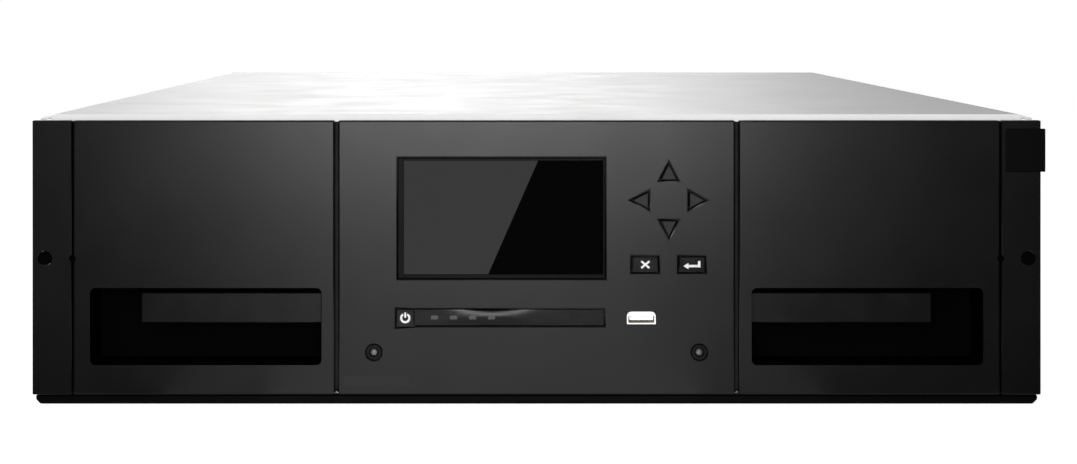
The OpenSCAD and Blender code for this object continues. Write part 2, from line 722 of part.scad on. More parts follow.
// One finger of the gripper, on the side s
module finger(s) at_axis() color("silver")
    translate([grip_edge + finger_pin, s * finger_y, finger_z[0]])
        mirror([0, s < 0 ? 1 : 0, 0])
            difference() {
                linear_extrude(finger_z[1] - finger_z[0]) {
                    circle(r = 2.6);
                    translate([-finger_pin - 7, -0.2]) square([finger_pin + 9, 2]);
                    translate([-finger_pin - 7, -1.3]) square([3.5, 2]);
                }
                translate([0, 0, -1]) cylinder(h = 20, r = shaft_r + run_gap);
            }

module left_finger() finger(-1);
module right_finger() finger(1);

// ---- belt drive of the carriage ---------------------------------------------

module belt_loop(r, z) hull() {
    post_z(belt_x, idler_v, r, z);
    post_z(belt_x, y_motor_v, r, z);
}

module y_belt() placed() color("black")
    difference() {
        belt_loop(belt_in + belt_t, belt_z);
        belt_loop(belt_in, [belt_z[0] - 1, belt_z[1] + 1]);
    }

module y_motor() placed() color("dimgray") {
    slab([belt_x - y_motor_w / 2, belt_x + y_motor_w / 2], [bay_v, bay_v + y_motor_w], [ring_z[0] - 57, ring_z[0]]);
    post_z(belt_x, y_motor_v, pulley_shaft_r, [ring_z[0] - eps, belt_z[1] + 0.5]);
}

module pulley(v) placed() color("silver")
    difference() {
        post_z(belt_x, v, pulley_r, belt_z);
        post_z(belt_x, v, pulley_shaft_r + run_gap, [belt_z[0] - 1, belt_z[1] + 1]);
    }

module y_drive_pulley() pulley(y_motor_v);
module y_idler_pulley() pulley(idler_v);

// ---- rear bay ---------------------------------------------------------------

function psu_bottom(i) = i == 0 ? psu_z0 : shelf_top + flat_gap;

module rear_cage() placed() color("silver") {
    both_sides()
        slab([cage_x, cage_x + sheet], [bay_v + y_motor_w + 2, panel_v], [tray_top, drive_z0 + drives * drive_pitch]);
    both_sides() for (k = [0:drives - 1])
        slab([drive_w / 2 - 3, cage_x + eps], [bay_v + y_motor_w + 2, panel_v],
             [drive_z0 - 1.1 + k * drive_pitch, drive_z0 - flat_gap + k * drive_pitch]);
    // shelf of the upper supply, with its outer leg
    slab([psu_x0 - 3, -cage_x - eps], [psu_v, panel_v], [shelf_top - sheet, shelf_top]);
    slab([psu_x0 - 3, psu_x0 - 3 + sheet], [psu_v, panel_v], [tray_top, shelf_top]);
}

// A pull handle on a rear plate, between the two heights
module pull(x, z, w) {
    reach = handle_reach - plate_t;
    for (dx = [0, w - 4])
        slab([x + dx, x + dx + 4], [panel_back + plate_t - eps, panel_back + plate_t + reach], [z - 2.5, z + 2.5]);
    slab([x, x + w], [panel_back + plate_t + reach - 3.5, panel_back + plate_t + reach], [z - 2.5, z + 2.5]);
}

module drive(k) placed() color("gainsboro") {
    z0 = drive_z0 + k * drive_pitch;
    difference() {
        slab([-drive_w / 2, drive_w / 2], [drive_v, panel_back + eps], [z0, z0 + drive_h]);
        slab([-bay_x, bay_x], [drive_v - 1, drive_v + bay_depth],
             [held_z - 1.3 + k * drive_pitch, held_z + cart_h + 1.2 + k * drive_pitch]);
    }
    slab([-cage_x - 1, cage_x + 1], [panel_back, panel_back + plate_t], [z0 - 0.2, z0 + drive_pitch - 0.6]);
    pull(-15, z0 + 9, 30);
}

module drive_1() drive(0);
module drive_2() drive(1);
module drive_3() drive(2);

inlet_w = 27.4;
inlet_h = 20;
inlet_depth = 18;

module psu(i) placed() color("gainsboro") {
    z0 = psu_bottom(i);
    inlet_x = psu_x0 + 10;
    difference() {
        union() {
            slab([psu_x0, psu_x1], [psu_v, panel_back + eps], [z0, z0 + psu_h]);
            slab([psu_x0 - 2, psu_x1 + 2], [panel_back, panel_back + plate_t], [z0, z0 + psu_h + 1]);
        }
        slab([inlet_x, inlet_x + inlet_w], [panel_back + plate_t - inlet_depth, panel_back + plate_t + 1],
             [z0 + 10, z0 + 10 + inlet_h]);
    }
    pull(psu_x1 - 40, z0 + 10, 32);
}

module psu_1() psu(0);
module psu_2() psu(1);

port_w = 16;
port_h = 13;
port_depth = 14;

module controller() placed() color("gainsboro") {
    difference() {
        union() {
            slab(control_x, [control_v, panel_back + eps], control_z);
            slab([control_x[0] - 2, control_x[1] + 2], [panel_back, panel_back + plate_t],
                 [control_z[0], control_z[1] + 1]);
        }
        for (i = [0, 1])
            slab([control_x[0] + 8 + i * 24, control_x[0] + 8 + port_w + i * 24],
                 [panel_back + plate_t - port_depth, panel_back + plate_t + 1],
                 [control_z[0] + 26, control_z[0] + 26 + port_h]);
    }
    pull(control_x[1] - 40, control_z[0] + 10, 32);
}

module midplane_boards() placed() color("darkgreen") {
    gap = 4;
    slab([psu_x0, psu_x1], [bay_v + gap, bay_v + gap + board_t], [tray_top + 4, shelf_top + psu_h]);
    for (i = [0, 1])
        slab([psu_x0 + 20, psu_x0 + 70], [bay_v + gap, psu_v], [psu_bottom(i) + 15, psu_bottom(i) + 30]);
    slab(control_x, [bay_v + gap, bay_v + gap + board_t], control_z);
    slab([control_x[0] + 20, control_x[0] + 70], [bay_v + gap, control_v], [control_z[0] + 15, control_z[0] + 27]);
    for (x = [psu_x0 + 6, psu_x1 - 6, control_x[0] + 6, control_x[1] - 6], z = [tray_top + 12, tray_top + 42])
        rod_y(x, z, 2.5, [bay_v, bay_v + gap + eps]);
}

module rear_fan() placed() color("black")
    translate([fan_x, fan_v[0], fan_z]) rotate([-90, 0, 0])
        difference() {
            union() {
                cylinder(h = fan_v[1] - fan_v[0], r = 10);
                for (i = [0:6])
                    rotate(i * 360 / 7) translate([9, 0, 5]) rotate([40, 0, 0])
                        translate([0, -6, -0.7]) cube([fan_d / 2 - 10, 12, 1.4]);
            }
            translate([0, 0, -1]) cylinder(h = 20, r = shaft_r + run_gap);
        }

base_tray();
front_frame();
rear_panel();
bulkhead();
base_plinth();
top_cover();
case_screws();
left_ear_cap();
right_ear_cap();
center_bezel();
panel_board();
lcd_module();
led_window();
usb_port();
panel_screws();
badge_plate();
magazine_rails();
guide_rods();
y_belt();
y_motor();
midplane_boards();
rear_cage();
left_magazine_tray();
left_magazine_bezel();
left_grip();
left_cartridges();
right_magazine_tray();
right_magazine_bezel();
right_grip();
right_cartridges();
carriage();
lift_posts();
lift_motor();
lead_screw();
lift_platform();
turret_motor();
turret_wheel();
turret_disc();
picker_guide();
barcode_reader();
gripper_block();
held_cartridge();
left_finger();
right_finger();
y_drive_pulley();
y_idler_pulley();
drive_1();
drive_2();
drive_3();
psu_1();
psu_2();
controller();
rear_fan();
up_key();
down_key();
left_key();
right_key();
cancel_key();
enter_key();
power_button();
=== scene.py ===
"""Looks of the data tape library: finishes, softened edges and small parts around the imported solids."""
import json
from math import cos, exp, pi, radians, sin

import bmesh
import bpy
from mathutils import Matrix, Vector


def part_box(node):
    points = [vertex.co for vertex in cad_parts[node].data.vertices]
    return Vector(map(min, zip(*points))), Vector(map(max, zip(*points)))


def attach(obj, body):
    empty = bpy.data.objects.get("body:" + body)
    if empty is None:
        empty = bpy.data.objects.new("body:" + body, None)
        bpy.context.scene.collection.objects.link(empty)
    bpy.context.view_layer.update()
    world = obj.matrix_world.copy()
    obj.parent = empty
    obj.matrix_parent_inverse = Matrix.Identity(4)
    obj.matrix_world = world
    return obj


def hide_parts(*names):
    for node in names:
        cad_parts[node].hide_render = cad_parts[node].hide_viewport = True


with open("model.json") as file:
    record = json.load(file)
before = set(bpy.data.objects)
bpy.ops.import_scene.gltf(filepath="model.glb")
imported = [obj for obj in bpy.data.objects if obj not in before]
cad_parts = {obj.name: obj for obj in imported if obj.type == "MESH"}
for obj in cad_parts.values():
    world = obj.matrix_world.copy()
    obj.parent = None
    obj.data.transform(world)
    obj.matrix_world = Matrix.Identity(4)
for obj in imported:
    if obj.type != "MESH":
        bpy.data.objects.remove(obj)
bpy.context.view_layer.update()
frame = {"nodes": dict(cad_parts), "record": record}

# ---- places ---------------------------------------------------------------
# Lengths are in millimetres: x across, v behind the front face, z up.
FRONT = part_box("center_bezel")[0][1]
MM = 0.001


class Span:
    """The room that a node takes, in millimetres."""

    def __init__(self, node):
        low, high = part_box(node)
        self.x = (low[0] / MM, high[0] / MM)
        self.v = ((low[1] - FRONT) / MM, (high[1] - FRONT) / MM)
        self.z = (low[2] / MM, high[2] / MM)
        self.mid = [(a + b) / 2 for a, b in (self.x, self.v, self.z)]


def put(tree, kind, links=None, **settings):
    """A node with its sockets fed from other sockets or from plain values."""
    made = tree.nodes.new(kind)
    for key, value in settings.items():
        setattr(made, key, value)
    for key, source in (links or {}).items():
        if isinstance(source, bpy.types.NodeSocket):
            tree.links.new(source, made.inputs[key])
        else:
            made.inputs[key].default_value = source
    return made


# ---- finishes -------------------------------------------------------------
PATCH_EDGE = (0.47, 0.67)   # the values of the noise between which one tone becomes the other
finishes = {}


def finish(name, colour, rough, metal=0.0, gloss=0.5, second=None, patch=40.0,
           grain=0.0, grain_size=0.6, uneven=0.0, uneven_size=12.0, drawn=None):
    """A surface with two tones in soft patches, uneven gloss and a fine grain.

    second is the tone of the patches, patch their size, grain the depth of the grain,
    and drawn stretches the grain along one axis, as on brushed or rolled metal."""
    made = bpy.data.materials.new(name)
    made.use_nodes = True
    tree = made.node_tree
    shader = tree.nodes["Principled BSDF"].inputs
    shader["Base Color"].default_value = (*colour, 1)
    shader["Roughness"].default_value = rough
    shader["Metallic"].default_value = metal
    shader["Specular IOR Level"].default_value = gloss
    place = put(tree, "ShaderNodeTexCoord")

    def noise(size, detail):
        turn = put(tree, "ShaderNodeMapping", {"Scale": drawn or (1, 1, 1),
                                               "Vector": place.outputs["Object"]})
        return put(tree, "ShaderNodeTexNoise", {"Scale": 1 / (size * MM), "Detail": detail,
                                                "Vector": turn.outputs["Vector"]}).outputs["Fac"]

    second = second or tuple(c * 0.86 for c in colour)
    spread = put(tree, "ShaderNodeMapRange", {"From Min": PATCH_EDGE[0], "From Max": PATCH_EDGE[1],
                                              "Value": noise(patch, 3.0)})
    tone = put(tree, "ShaderNodeMix", {"A": (*colour, 1), "B": (*second, 1),
                                       "Factor": spread.outputs["Result"]}, data_type="RGBA")
    tree.links.new(tone.outputs["Result"], shader["Base Color"])
    if uneven:
        change = put(tree, "ShaderNodeMapRange", {"From Min": 0.3, "From Max": 0.7, "To Min": rough - uneven,
                                                  "To Max": rough + uneven, "Value": noise(uneven_size, 4.0)})
        tree.links.new(change.outputs["Result"], shader["Roughness"])
    if grain:
        bump = put(tree, "ShaderNodeBump", {"Strength": 0.6, "Distance": grain * MM,
                                            "Height": noise(grain_size, 2.0)})
        tree.links.new(bump.outputs["Normal"], shader["Normal"])
    finishes[name] = made


finish("front_plastic", (0.0022, 0.0022, 0.0023), 0.24, gloss=0.13, second=(0.0030, 0.0030, 0.0032), patch=30,
       grain=0.006, grain_size=0.5, uneven=0.012, uneven_size=26)
finish("grip_plastic", (0.003, 0.003, 0.0031), 0.24, gloss=0.10, patch=30,
       grain=0.006, grain_size=0.5, uneven=0.02)
# painted shade: near black for the faces deep in the finger pockets, darker than the front plastic, where
# shade falls
finish("recess_plastic", (0.0008, 0.0008, 0.0009), 0.5, gloss=0.006, grain=0.008, grain_size=0.5, uneven=0.03)
finish("key_plastic", (0.004, 0.004, 0.0043), 0.36, gloss=0.12, grain=0.004, grain_size=0.4, uneven=0.02)
finish("key_gloss", (0.003, 0.003, 0.0033), 0.16, gloss=0.12, uneven=0.03, uneven_size=6)
finish("frame_black", (0.008, 0.008, 0.009), 0.5, gloss=0.08, grain=0.02, grain_size=0.8, uneven=0.05)
finish("plinth_paint", (0.0008, 0.0008, 0.0009), 0.42, gloss=0.02, grain=0.015, grain_size=1.2, uneven=0.04)
finish("cover_paint", (0.61, 0.61, 0.605), 0.42, gloss=0.4, second=(0.57, 0.57, 0.565), patch=90,
       grain=0.02, grain_size=1.1, uneven=0.05, uneven_size=30)
finish("chassis_steel", (0.50, 0.51, 0.52), 0.38, metal=1.0, second=(0.40, 0.41, 0.43), patch=9,
       uneven=0.08, uneven_size=7, grain=0.006, grain_size=1.5)
finish("module_case", (0.60, 0.61, 0.62), 0.34, metal=1.0, second=(0.52, 0.53, 0.55), patch=30,
       drawn=(1, 1, 8), uneven=0.07, uneven_size=10, grain=0.004, grain_size=1.0)
finish("aluminium", (0.62, 0.63, 0.64), 0.33, metal=1.0, second=(0.55, 0.56, 0.58), patch=12,
       drawn=(1, 6, 1), uneven=0.06, grain=0.004)
finish("rod_steel", (0.62, 0.63, 0.65), 0.14, metal=1.0, second=(0.56, 0.57, 0.60), patch=30, uneven=0.03)
finish("screw_steel", (0.52, 0.52, 0.53), 0.28, metal=1.0, patch=2, uneven=0.06, uneven_size=1.5)
finish("bright_steel", (0.85, 0.85, 0.86), 0.2, metal=1.0, patch=2, uneven=0.04, uneven_size=1.5)
finish("socket_steel", (0.10, 0.10, 0.105), 0.5, metal=1.0, patch=1, uneven=0.06, uneven_size=1)
finish("screw_black", (0.002, 0.002, 0.0022), 0.35, gloss=0.05, patch=2, uneven=0.05, uneven_size=1.5)
finish("magazine_plastic", (0.022, 0.022, 0.024), 0.45, gloss=0.35, grain=0.02, grain_size=0.7, uneven=0.05)
finish("cartridge_plastic", (0.014, 0.017, 0.024), 0.42, gloss=0.4, second=(0.017, 0.020, 0.028), patch=25,
       grain=0.015, grain_size=0.5, uneven=0.04)
finish("label_card", (0.80, 0.80, 0.79), 0.55, gloss=0.3, second=(0.74, 0.75, 0.74), patch=14, grain=0.004,
       grain_size=0.3, uneven=0.04)
finish("display_frame", (0.002, 0.002, 0.0023), 0.35, gloss=0.03, uneven=0.03, uneven_size=8)
finish("display_glass", (0.0012, 0.0012, 0.0014), 0.004, gloss=0.5, second=(0.0015, 0.0015, 0.0017), patch=60,
       uneven=0.002, uneven_size=40)
finish("led_dark", (0.002, 0.002, 0.0023), 0.2, gloss=0.09, second=(0.004, 0.004, 0.0043), patch=10,
       uneven=0.03, uneven_size=14, drawn=(1, 1, 4))
finish("led_lens", (0.03, 0.03, 0.032), 0.3, gloss=0.2, patch=1, uneven=0.04, uneven_size=1)
finish("badge_black", (0.0012, 0.0012, 0.0014), 0.4, gloss=0.03, uneven=0.04, uneven_size=5, grain=0.002)
# painted shade: near-black matte that fills holes in place of the shade inside them
finish("hole_black", (0.001, 0.001, 0.001), 0.8, gloss=0.004, patch=6, uneven=0.04)
finish("print_white", (0.6, 0.6, 0.59), 0.45, gloss=0.4, patch=1.5, uneven=0.04, uneven_size=2)
finish("usb_white", (0.86, 0.86, 0.85), 0.38, gloss=0.45, patch=4, uneven=0.04, uneven_size=3)
finish("board_green", (0.012, 0.085, 0.035), 0.35, gloss=0.5, second=(0.02, 0.12, 0.05), patch=3,
       drawn=(1, 1, 5), uneven=0.08, uneven_size=4, grain=0.01, grain_size=0.5)
finish("chip_black", (0.015, 0.015, 0.016), 0.4, gloss=0.4, patch=4, uneven=0.05, uneven_size=3)
finish("motor_dark", (0.03, 0.03, 0.032), 0.36, metal=0.6, patch=8, uneven=0.06, grain=0.006)
finish("belt_rubber", (0.012, 0.012, 0.012), 0.7, gloss=0.3, grain=0.02, grain_size=0.5, uneven=0.05)
finish("picker_plastic", (0.62, 0.62, 0.60), 0.42, gloss=0.4, second=(0.58, 0.58, 0.56), patch=25,
       grain=0.01, grain_size=0.6, uneven=0.04)
finish("reader_red", (0.2, 0.006, 0.006), 0.12, gloss=0.5, patch=6, uneven=0.03)
finish("fan_black", (0.014, 0.014, 0.015), 0.38, gloss=0.4, patch=10, grain=0.008, uneven=0.05)
# painted shade: near black for vent holes, screw crosses and socket openings, dark where shade falls in them
finish("vent_dark", (0.004, 0.004, 0.004), 0.7, gloss=0.2, patch=10, grain=0.01, uneven=0.05)
finish("gold_contact", (0.75, 0.52, 0.20), 0.22, metal=1.0, patch=2, uneven=0.05, uneven_size=1)
finish("latch_green", (0.03, 0.22, 0.16), 0.4, gloss=0.4, patch=6, grain=0.006, uneven=0.04)
finish("foot_rubber", (0.02, 0.02, 0.02), 0.75, gloss=0.3, grain=0.03, grain_size=0.8, uneven=0.05)


# ---- pieces ---------------------------------------------------------------
TURN = 28           # an edge that turns by more degrees than this is rounded
CREASE = 35         # and one that turns by more than this shades as an edge


def settle(mesh, name, body, replaces=()):
    """Puts a finished mesh in the scene, on its body."""
    made = bpy.data.objects.new(name, mesh)
    bpy.context.scene.collection.objects.link(made)
    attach(made, body)
    if replaces:
        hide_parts(*replaces)
    return made


def facing_of(face):
    return tuple(round(c, 3) for c in face.normal)


def round_edges(shape, edges, width, rounds, clamp):
    """Rounds these edges; the faces between them stay flat, and only the roundings shade smoothly."""
    shape.normal_update()
    flats = {facing_of(face) for face in shape.faces}
    bmesh.ops.bevel(shape, geom=edges, offset=width, segments=rounds, profile=0.5, affect="EDGES",
                    clamp_overlap=clamp)
    shape.normal_update()
    for face in shape.faces:
        face.smooth = facing_of(face) not in flats


def soften(shape, width, rounds):
    """Rounds the outer edges that are long enough for it."""
    edges = [e for e in shape.edges
             if len(e.link_faces) == 2 and e.calc_face_angle(0) > radians(TURN) and e.is_convex
             and e.calc_length() > 4 * width]
    if edges:
        round_edges(shape, edges, width, rounds, False)


body_of = {node: body for body, nodes in frame["record"]["behaviour"]["bodies"].items() for node in nodes}
slot_of = {part["node"]: part["material_slot"] for part in frame["record"]["subparts"]}


class Piece:
    """Closed shapes, gathered in millimetres, that become one object on one body."""

    def __init__(self, name, body, slot):
        self.name, self.body, self.slot = name, body, slot
        self.shape, self.used = bmesh.new(), []

    def add(self, part, paint, soft=0.0, smooth=False, turn=TURN):
        """Takes in one closed shape, and rounds its edges first."""
        if paint not in self.used:
            self.used.append(paint)
        bmesh.ops.recalc_face_normals(part, faces=part.faces)
        for face in part.faces:
            face.smooth = smooth
        if soft:
            edges = [e for e in part.edges
                     if len(e.link_faces) == 2 and e.calc_face_angle(0) > radians(turn)]
            round_edges(part, edges, soft, 2, True)
        for face in part.faces:
            face.material_index = self.used.index(paint)
        return self.take(part)

    def stroke(self, a, b, width, v, paint):
        """A flat bar from point a to point b, both (x, z)."""
        along = Vector((b[0] - a[0], b[1] - a[1])).normalized()
        side = Vector((-along.y, along.x)) * width / 2
        corners = [(a[0] + side.x, a[1] + side.y), (a[0] - side.x, a[1] - side.y),
                   (b[0] - side.x, b[1] - side.y), (b[0] + side.x, b[1] + side.y)]
        return self.prism(corners, v, paint)

    def pattern(self, tree, values, paint, place=Matrix.Identity(4), points=((0, 0, 0),)):
        """What a node tree lays out, set in place by a matrix in millimetres."""
        part = bmesh.new()
        mesh = laid_out(tree, dict(values, Paint=finishes[paint]), points)
        part.from_mesh(mesh)
        bpy.data.meshes.remove(mesh)
        part.transform(place)
        return self.add(part, paint)

    def solid(self, node, paint, soft=0.0, rounds=2, inside=None):
        """A node's own shape with softened edges; inside = (paint, test) paints some faces otherwise."""
        part = bmesh.new()
        part.from_mesh(frame["nodes"][node].data)
        part.transform(Matrix.Scale(1 / MM, 4) @ Matrix.Translation((0, -FRONT, 0)))
        bmesh.ops.remove_doubles(part, verts=part.verts, dist=0.001)
        bmesh.ops.dissolve_limit(part, angle_limit=radians(0.5), verts=part.verts, edges=part.edges)
        if soft:
            soften(part, soft, rounds)
        for used in [paint] + ([inside[0]] if inside else []):
            if used not in self.used:
                self.used.append(used)
        for face in part.faces:
            middle = face.calc_center_median()
            inner = inside and inside[1](middle.x, middle.y, middle.z)
            face.material_index = self.used.index(inside[0] if inner else paint)
        return self.take(part)

    def take(self, part):
        between = bpy.data.meshes.new("between")
        part.to_mesh(between)
        part.free()
        self.shape.from_mesh(between)
        bpy.data.meshes.remove(between)
        return self

    def block(self, x, v, z, paint, soft=0.0):
        part = bmesh.new()
        corners = [part.verts.new((a, b, c)) for c in z for b in v for a in x]
        for face in ((0, 1, 3, 2), (4, 6, 7, 5), (0, 4, 5, 1), (2, 3, 7, 6), (0, 2, 6, 4), (1, 5, 7, 3)):
            part.faces.new([corners[i] for i in face])
        return self.add(part, paint, soft)

    def prism(self, outline, v, paint, soft=0.0, turn=TURN):
        """An outline of (x, z) points, pushed from v[0] to v[1]."""
        part = bmesh.new()
        near = [part.verts.new((x, v[0], z)) for x, z in outline]
        far = [part.verts.new((x, v[1], z)) for x, z in outline]
        part.faces.new(near)
        part.faces.new(far[::-1])
        for i in range(len(near)):
            j = (i + 1) % len(near)
            part.faces.new((near[i], far[i], far[j], near[j]))
        return self.add(part, paint, soft, turn=turn)

    def turned(self, place, way, profile, paint, sides, hollow=False):
        """A turned shape: profile has (radius, height) points, and way is the axis, v or z."""
        part = bmesh.new()
        rings = []
        for radius, height in profile:
            if radius < 1e-6:
                rings.append([part.verts.new((0, 0, height))])
            else:
                angles = [2 * pi * i / sides for i in range(sides)]
                rings.append([part.verts.new((radius * cos(a), radius * sin(a), height)) for a in angles])
        for low, high in zip(rings, rings[1:] + ([rings[0]] if hollow else [])):
            for i in range(sides):
                j = (i + 1) % sides
                corners = [low[i % len(low)], low[j % len(low)], high[j % len(high)], high[i % len(high)]]
                kept = []
                for corner in corners:
                    if corner not in kept:
                        kept.append(corner)
                if len(kept) > 2:
                    part.faces.new(kept)
        for ring in () if hollow else (rings[0], rings[-1]):
            if len(ring) > 1:
                part.faces.new(ring)
        lay = Matrix.Rotation(-pi / 2, 4, "X") if way == "v" else Matrix.Identity(4)
        part.transform(Matrix.Translation(place) @ lay)
        return self.add(part, paint, smooth=True)

    def rim(self, x, v, z, width, paint, soft, gap=0.0):
        """Four bars of one width round the opening x by z, the gap away from its edge."""
        inner = (x[0] + width, x[1] - width)
        for a, b in (((x[0] + gap, inner[0]), z), ((inner[1], x[1] - gap), z),
                     (inner, (z[0] + gap, z[0] + width)), (inner, (z[1] - width, z[1] - gap))):
            self.block(a, v, b, paint, soft)

    def done(self, replaces=()):
        mesh = bpy.data.meshes.new(self.name)
        self.shape.transform(Matrix.Translation((0, FRONT, 0)) @ Matrix.Scale(MM, 4))
        self.shape.to_mesh(mesh)
        self.shape.free()
        flags = [face.use_smooth for face in mesh.polygons]
        mesh.set_sharp_from_angle(angle=radians(CREASE))
        mesh.polygons.foreach_set("use_smooth", flags)
        for paint in self.used:
            mesh.materials.append(finishes[paint])
        return settle(mesh, self.name, self.body, replaces)


def rounded(x, z, r, steps=5):
    """The outline of a rectangle with round corners."""
    points = []
    for cx, cz, start in ((x[1] - r, z[1] - r, 0), (x[0] + r, z[1] - r, 90), (x[0] + r, z[0] + r, 180),
                          (x[1] - r, z[0] + r, 270)):
        for i in range(steps + 1):
            angle = radians(start + 90 * i / steps)
            points.append((cx + r * cos(angle), cz + r * sin(angle)))
    return points


def piece_for(node, ending="_shell"):
    """A piece on the node's own body, with its slot."""
    return Piece(node + ending, body_of[node], slot_of[node])


def islands(node):
    """The spans (x, v, z) of each separate solid of a node."""
    shape = bmesh.new()
    shape.from_mesh(frame["nodes"][node].data)
    bmesh.ops.remove_doubles(shape, verts=shape.verts, dist=0.001 * MM)
    left, found = set(shape.verts), []
    while left:
        edge = [left.pop()]
        reached = []
        while edge:
            vert = edge.pop()
            reached.append((vert.co.x / MM, (vert.co.y - FRONT) / MM, vert.co.z / MM))
            for link in vert.link_edges:
                other = link.other_vert(vert)
                if other in left:
                    left.remove(other)
                    edge.append(other)
        found.append(tuple((min(c), max(c)) for c in zip(*reached)))
    shape.free()
    return sorted(found)


# ---- patterns -------------------------------------------------------------
# Each tree works in millimetres about its own origin.
KINDS = {"whole": "NodeSocketInt", "length": "NodeSocketFloat", "vector": "NodeSocketVector",
         "paint": "NodeSocketMaterial", "object": "NodeSocketObject", "geometry": "NodeSocketGeometry"}


def new_tree(name, **inputs):
    tree = bpy.data.node_groups.new(name, "GeometryNodeTree")
    tree.interface.new_socket("Geometry", in_out="OUTPUT", socket_type="NodeSocketGeometry")
    for label, kind in inputs.items():
        tree.interface.new_socket(label, in_out="INPUT", socket_type=KINDS[kind])
    return tree, tree.nodes.new("NodeGroupInput")


def finished(tree, geometry, entry):
    """Real geometry with its finish, as the tree's result."""
    real = put(tree, "GeometryNodeRealizeInstances", {"Geometry": geometry})
    painted = put(tree, "GeometryNodeSetMaterial", {"Geometry": real.outputs[0],
                                                    "Material": entry.outputs["Paint"]})
    put(tree, "NodeGroupOutput", {"Geometry": painted.outputs[0]})
    return tree


def field_tree():
    """Small prisms in rows, each second row moved over: perforations."""
    tree, entry = new_tree("perforations", Columns="whole", Rows="whole", Width="length", Height="length",
                           Shift="length", Radius="length", Sides="whole", Depth="length", Paint="paint")
    get = entry.outputs
    grid = put(tree, "GeometryNodeMeshGrid", {"Size X": get["Width"], "Size Y": get["Height"],
                                              "Vertices X": get["Columns"], "Vertices Y": get["Rows"]})
    row = put(tree, "ShaderNodeMath", {0: put(tree, "GeometryNodeInputIndex").outputs[0], 1: get["Rows"]},
              operation="MODULO")
    odd = put(tree, "ShaderNodeMath", {0: row.outputs[0], 1: 2.0}, operation="MODULO")
    over = put(tree, "ShaderNodeMath", {0: odd.outputs[0], 1: get["Shift"]}, operation="MULTIPLY")
    offset = put(tree, "ShaderNodeCombineXYZ", {"X": over.outputs[0]})
    moved = put(tree, "GeometryNodeSetPosition", {"Geometry": grid.outputs["Mesh"],
                                                  "Offset": offset.outputs[0]})
    shape = put(tree, "GeometryNodeMeshCylinder", {"Vertices": get["Sides"], "Radius": get["Radius"],
                                                   "Depth": get["Depth"]})
    spread = put(tree, "GeometryNodeInstanceOnPoints", {"Points": moved.outputs[0],
                                                        "Instance": shape.outputs["Mesh"]})
    return finished(tree, spread.outputs[0], entry)


def bars_tree():
    """Equal bars at equal steps: ridges, teeth, fins and contacts."""
    tree, entry = new_tree("bars", Count="whole", Step="vector", Size="vector", Paint="paint")
    get = entry.outputs
    line = put(tree, "GeometryNodeMeshLine", {"Count": get["Count"], "Offset": get["Step"]}, mode="OFFSET")
    bar = put(tree, "GeometryNodeMeshCube", {"Size": get["Size"]})
    spread = put(tree, "GeometryNodeInstanceOnPoints", {"Points": line.outputs[0],
                                                        "Instance": bar.outputs["Mesh"]})
    return finished(tree, spread.outputs[0], entry)


def thread_tree():
    """A ridge that winds up along an axis."""
    tree, entry = new_tree("thread", Turns="length", Radius="length", Rise="length", Wire="length",
                           Paint="paint")
    get = entry.outputs
    path = put(tree, "GeometryNodeCurveSpiral", {"Resolution": 20, "Rotations": get["Turns"],
                                                 "Start Radius": get["Radius"], "End Radius": get["Radius"],
                                                 "Height": get["Rise"]})
    wire = put(tree, "GeometryNodeCurvePrimitiveCircle", {"Resolution": 5, "Radius": get["Wire"]})
    ridge = put(tree, "GeometryNodeCurveToMesh", {"Curve": path.outputs[0], "Profile Curve": wire.outputs[0],
                                                  "Fill Caps": True})
    return finished(tree, ridge.outputs[0], entry)


def set_out_tree():
    """One small shape at each of some points: screws, labels and chips."""
    tree, entry = new_tree("set_out", Points="geometry", Shape="object", Paint="paint")
    shape = put(tree, "GeometryNodeObjectInfo", {"Object": entry.outputs["Shape"]})
    spread = put(tree, "GeometryNodeInstanceOnPoints", {"Points": entry.outputs["Points"],
                                                        "Instance": shape.outputs["Geometry"]})
    return finished(tree, spread.outputs[0], entry)


def laid_out(tree, values, points):
    """Runs a tree on some points and keeps the result as a plain mesh."""
    base = bpy.data.meshes.new("base")
    base.from_pydata(points, [], [])
    holder = bpy.data.objects.new("holder", base)
    bpy.context.scene.collection.objects.link(holder)
    use = holder.modifiers.new("layout", "NODES")
    use.node_group = tree
    for item in tree.interface.items_tree:
        if item.in_out == "INPUT" and item.name in values:
            use[item.identifier] = values[item.name]
    graph = bpy.context.evaluated_depsgraph_get()
    mesh = bpy.data.meshes.new_from_object(holder.evaluated_get(graph))
    bpy.data.objects.remove(holder)
    bpy.data.meshes.remove(base)
    return mesh


perforations, bars, thread, set_out = field_tree(), bars_tree(), thread_tree(), set_out_tree()
ROW_PITCH = 0.87    # of the pitch along a row, as holes set in triangles have


def vent(piece, x, z, v, pitch=4.2, radius=1.45):
    """A field of holes over the room x by z on a rear face: thin near-black prisms on the face, painted shade
    in place of holes.
    """
    columns = int((x[1] - x[0] - pitch / 2) / pitch) + 1
    rows = int((z[1] - z[0]) / (pitch * ROW_PITCH)) + 1
    width, height = (columns - 1) * pitch, (rows - 1) * pitch * ROW_PITCH
    middle = Matrix.Translation((sum(x) / 2 - pitch / 4, v, sum(z) / 2))
    piece.pattern(perforations, {"Columns": columns, "Rows": rows, "Width": width, "Height": height,
                                 "Shift": pitch / 2, "Radius": radius, "Sides": 6, "Depth": 0.16},
                  "vent_dark", middle @ Matrix.Rotation(pi / 2, 4, "X"))


def scatter(piece, shape, paint, points):
    """Sets a copy of a small shape at each point."""
    mesh = bpy.data.meshes.new("shape")
    shape.to_mesh(mesh)
    shape.free()
    pattern_of = bpy.data.objects.new("shape", mesh)
    piece.pattern(set_out, {"Shape": pattern_of}, paint, points=points)
    bpy.data.objects.remove(pattern_of)


# ---- front plates ---------------------------------------------------------
HOLE_Z = 69         # height of the ear holes and of the pin holes beside them
HOLE_X = 232.55     # half the distance between the ear holes
SEAM_X = 94.7       # from the middle to the seam beside each magazine


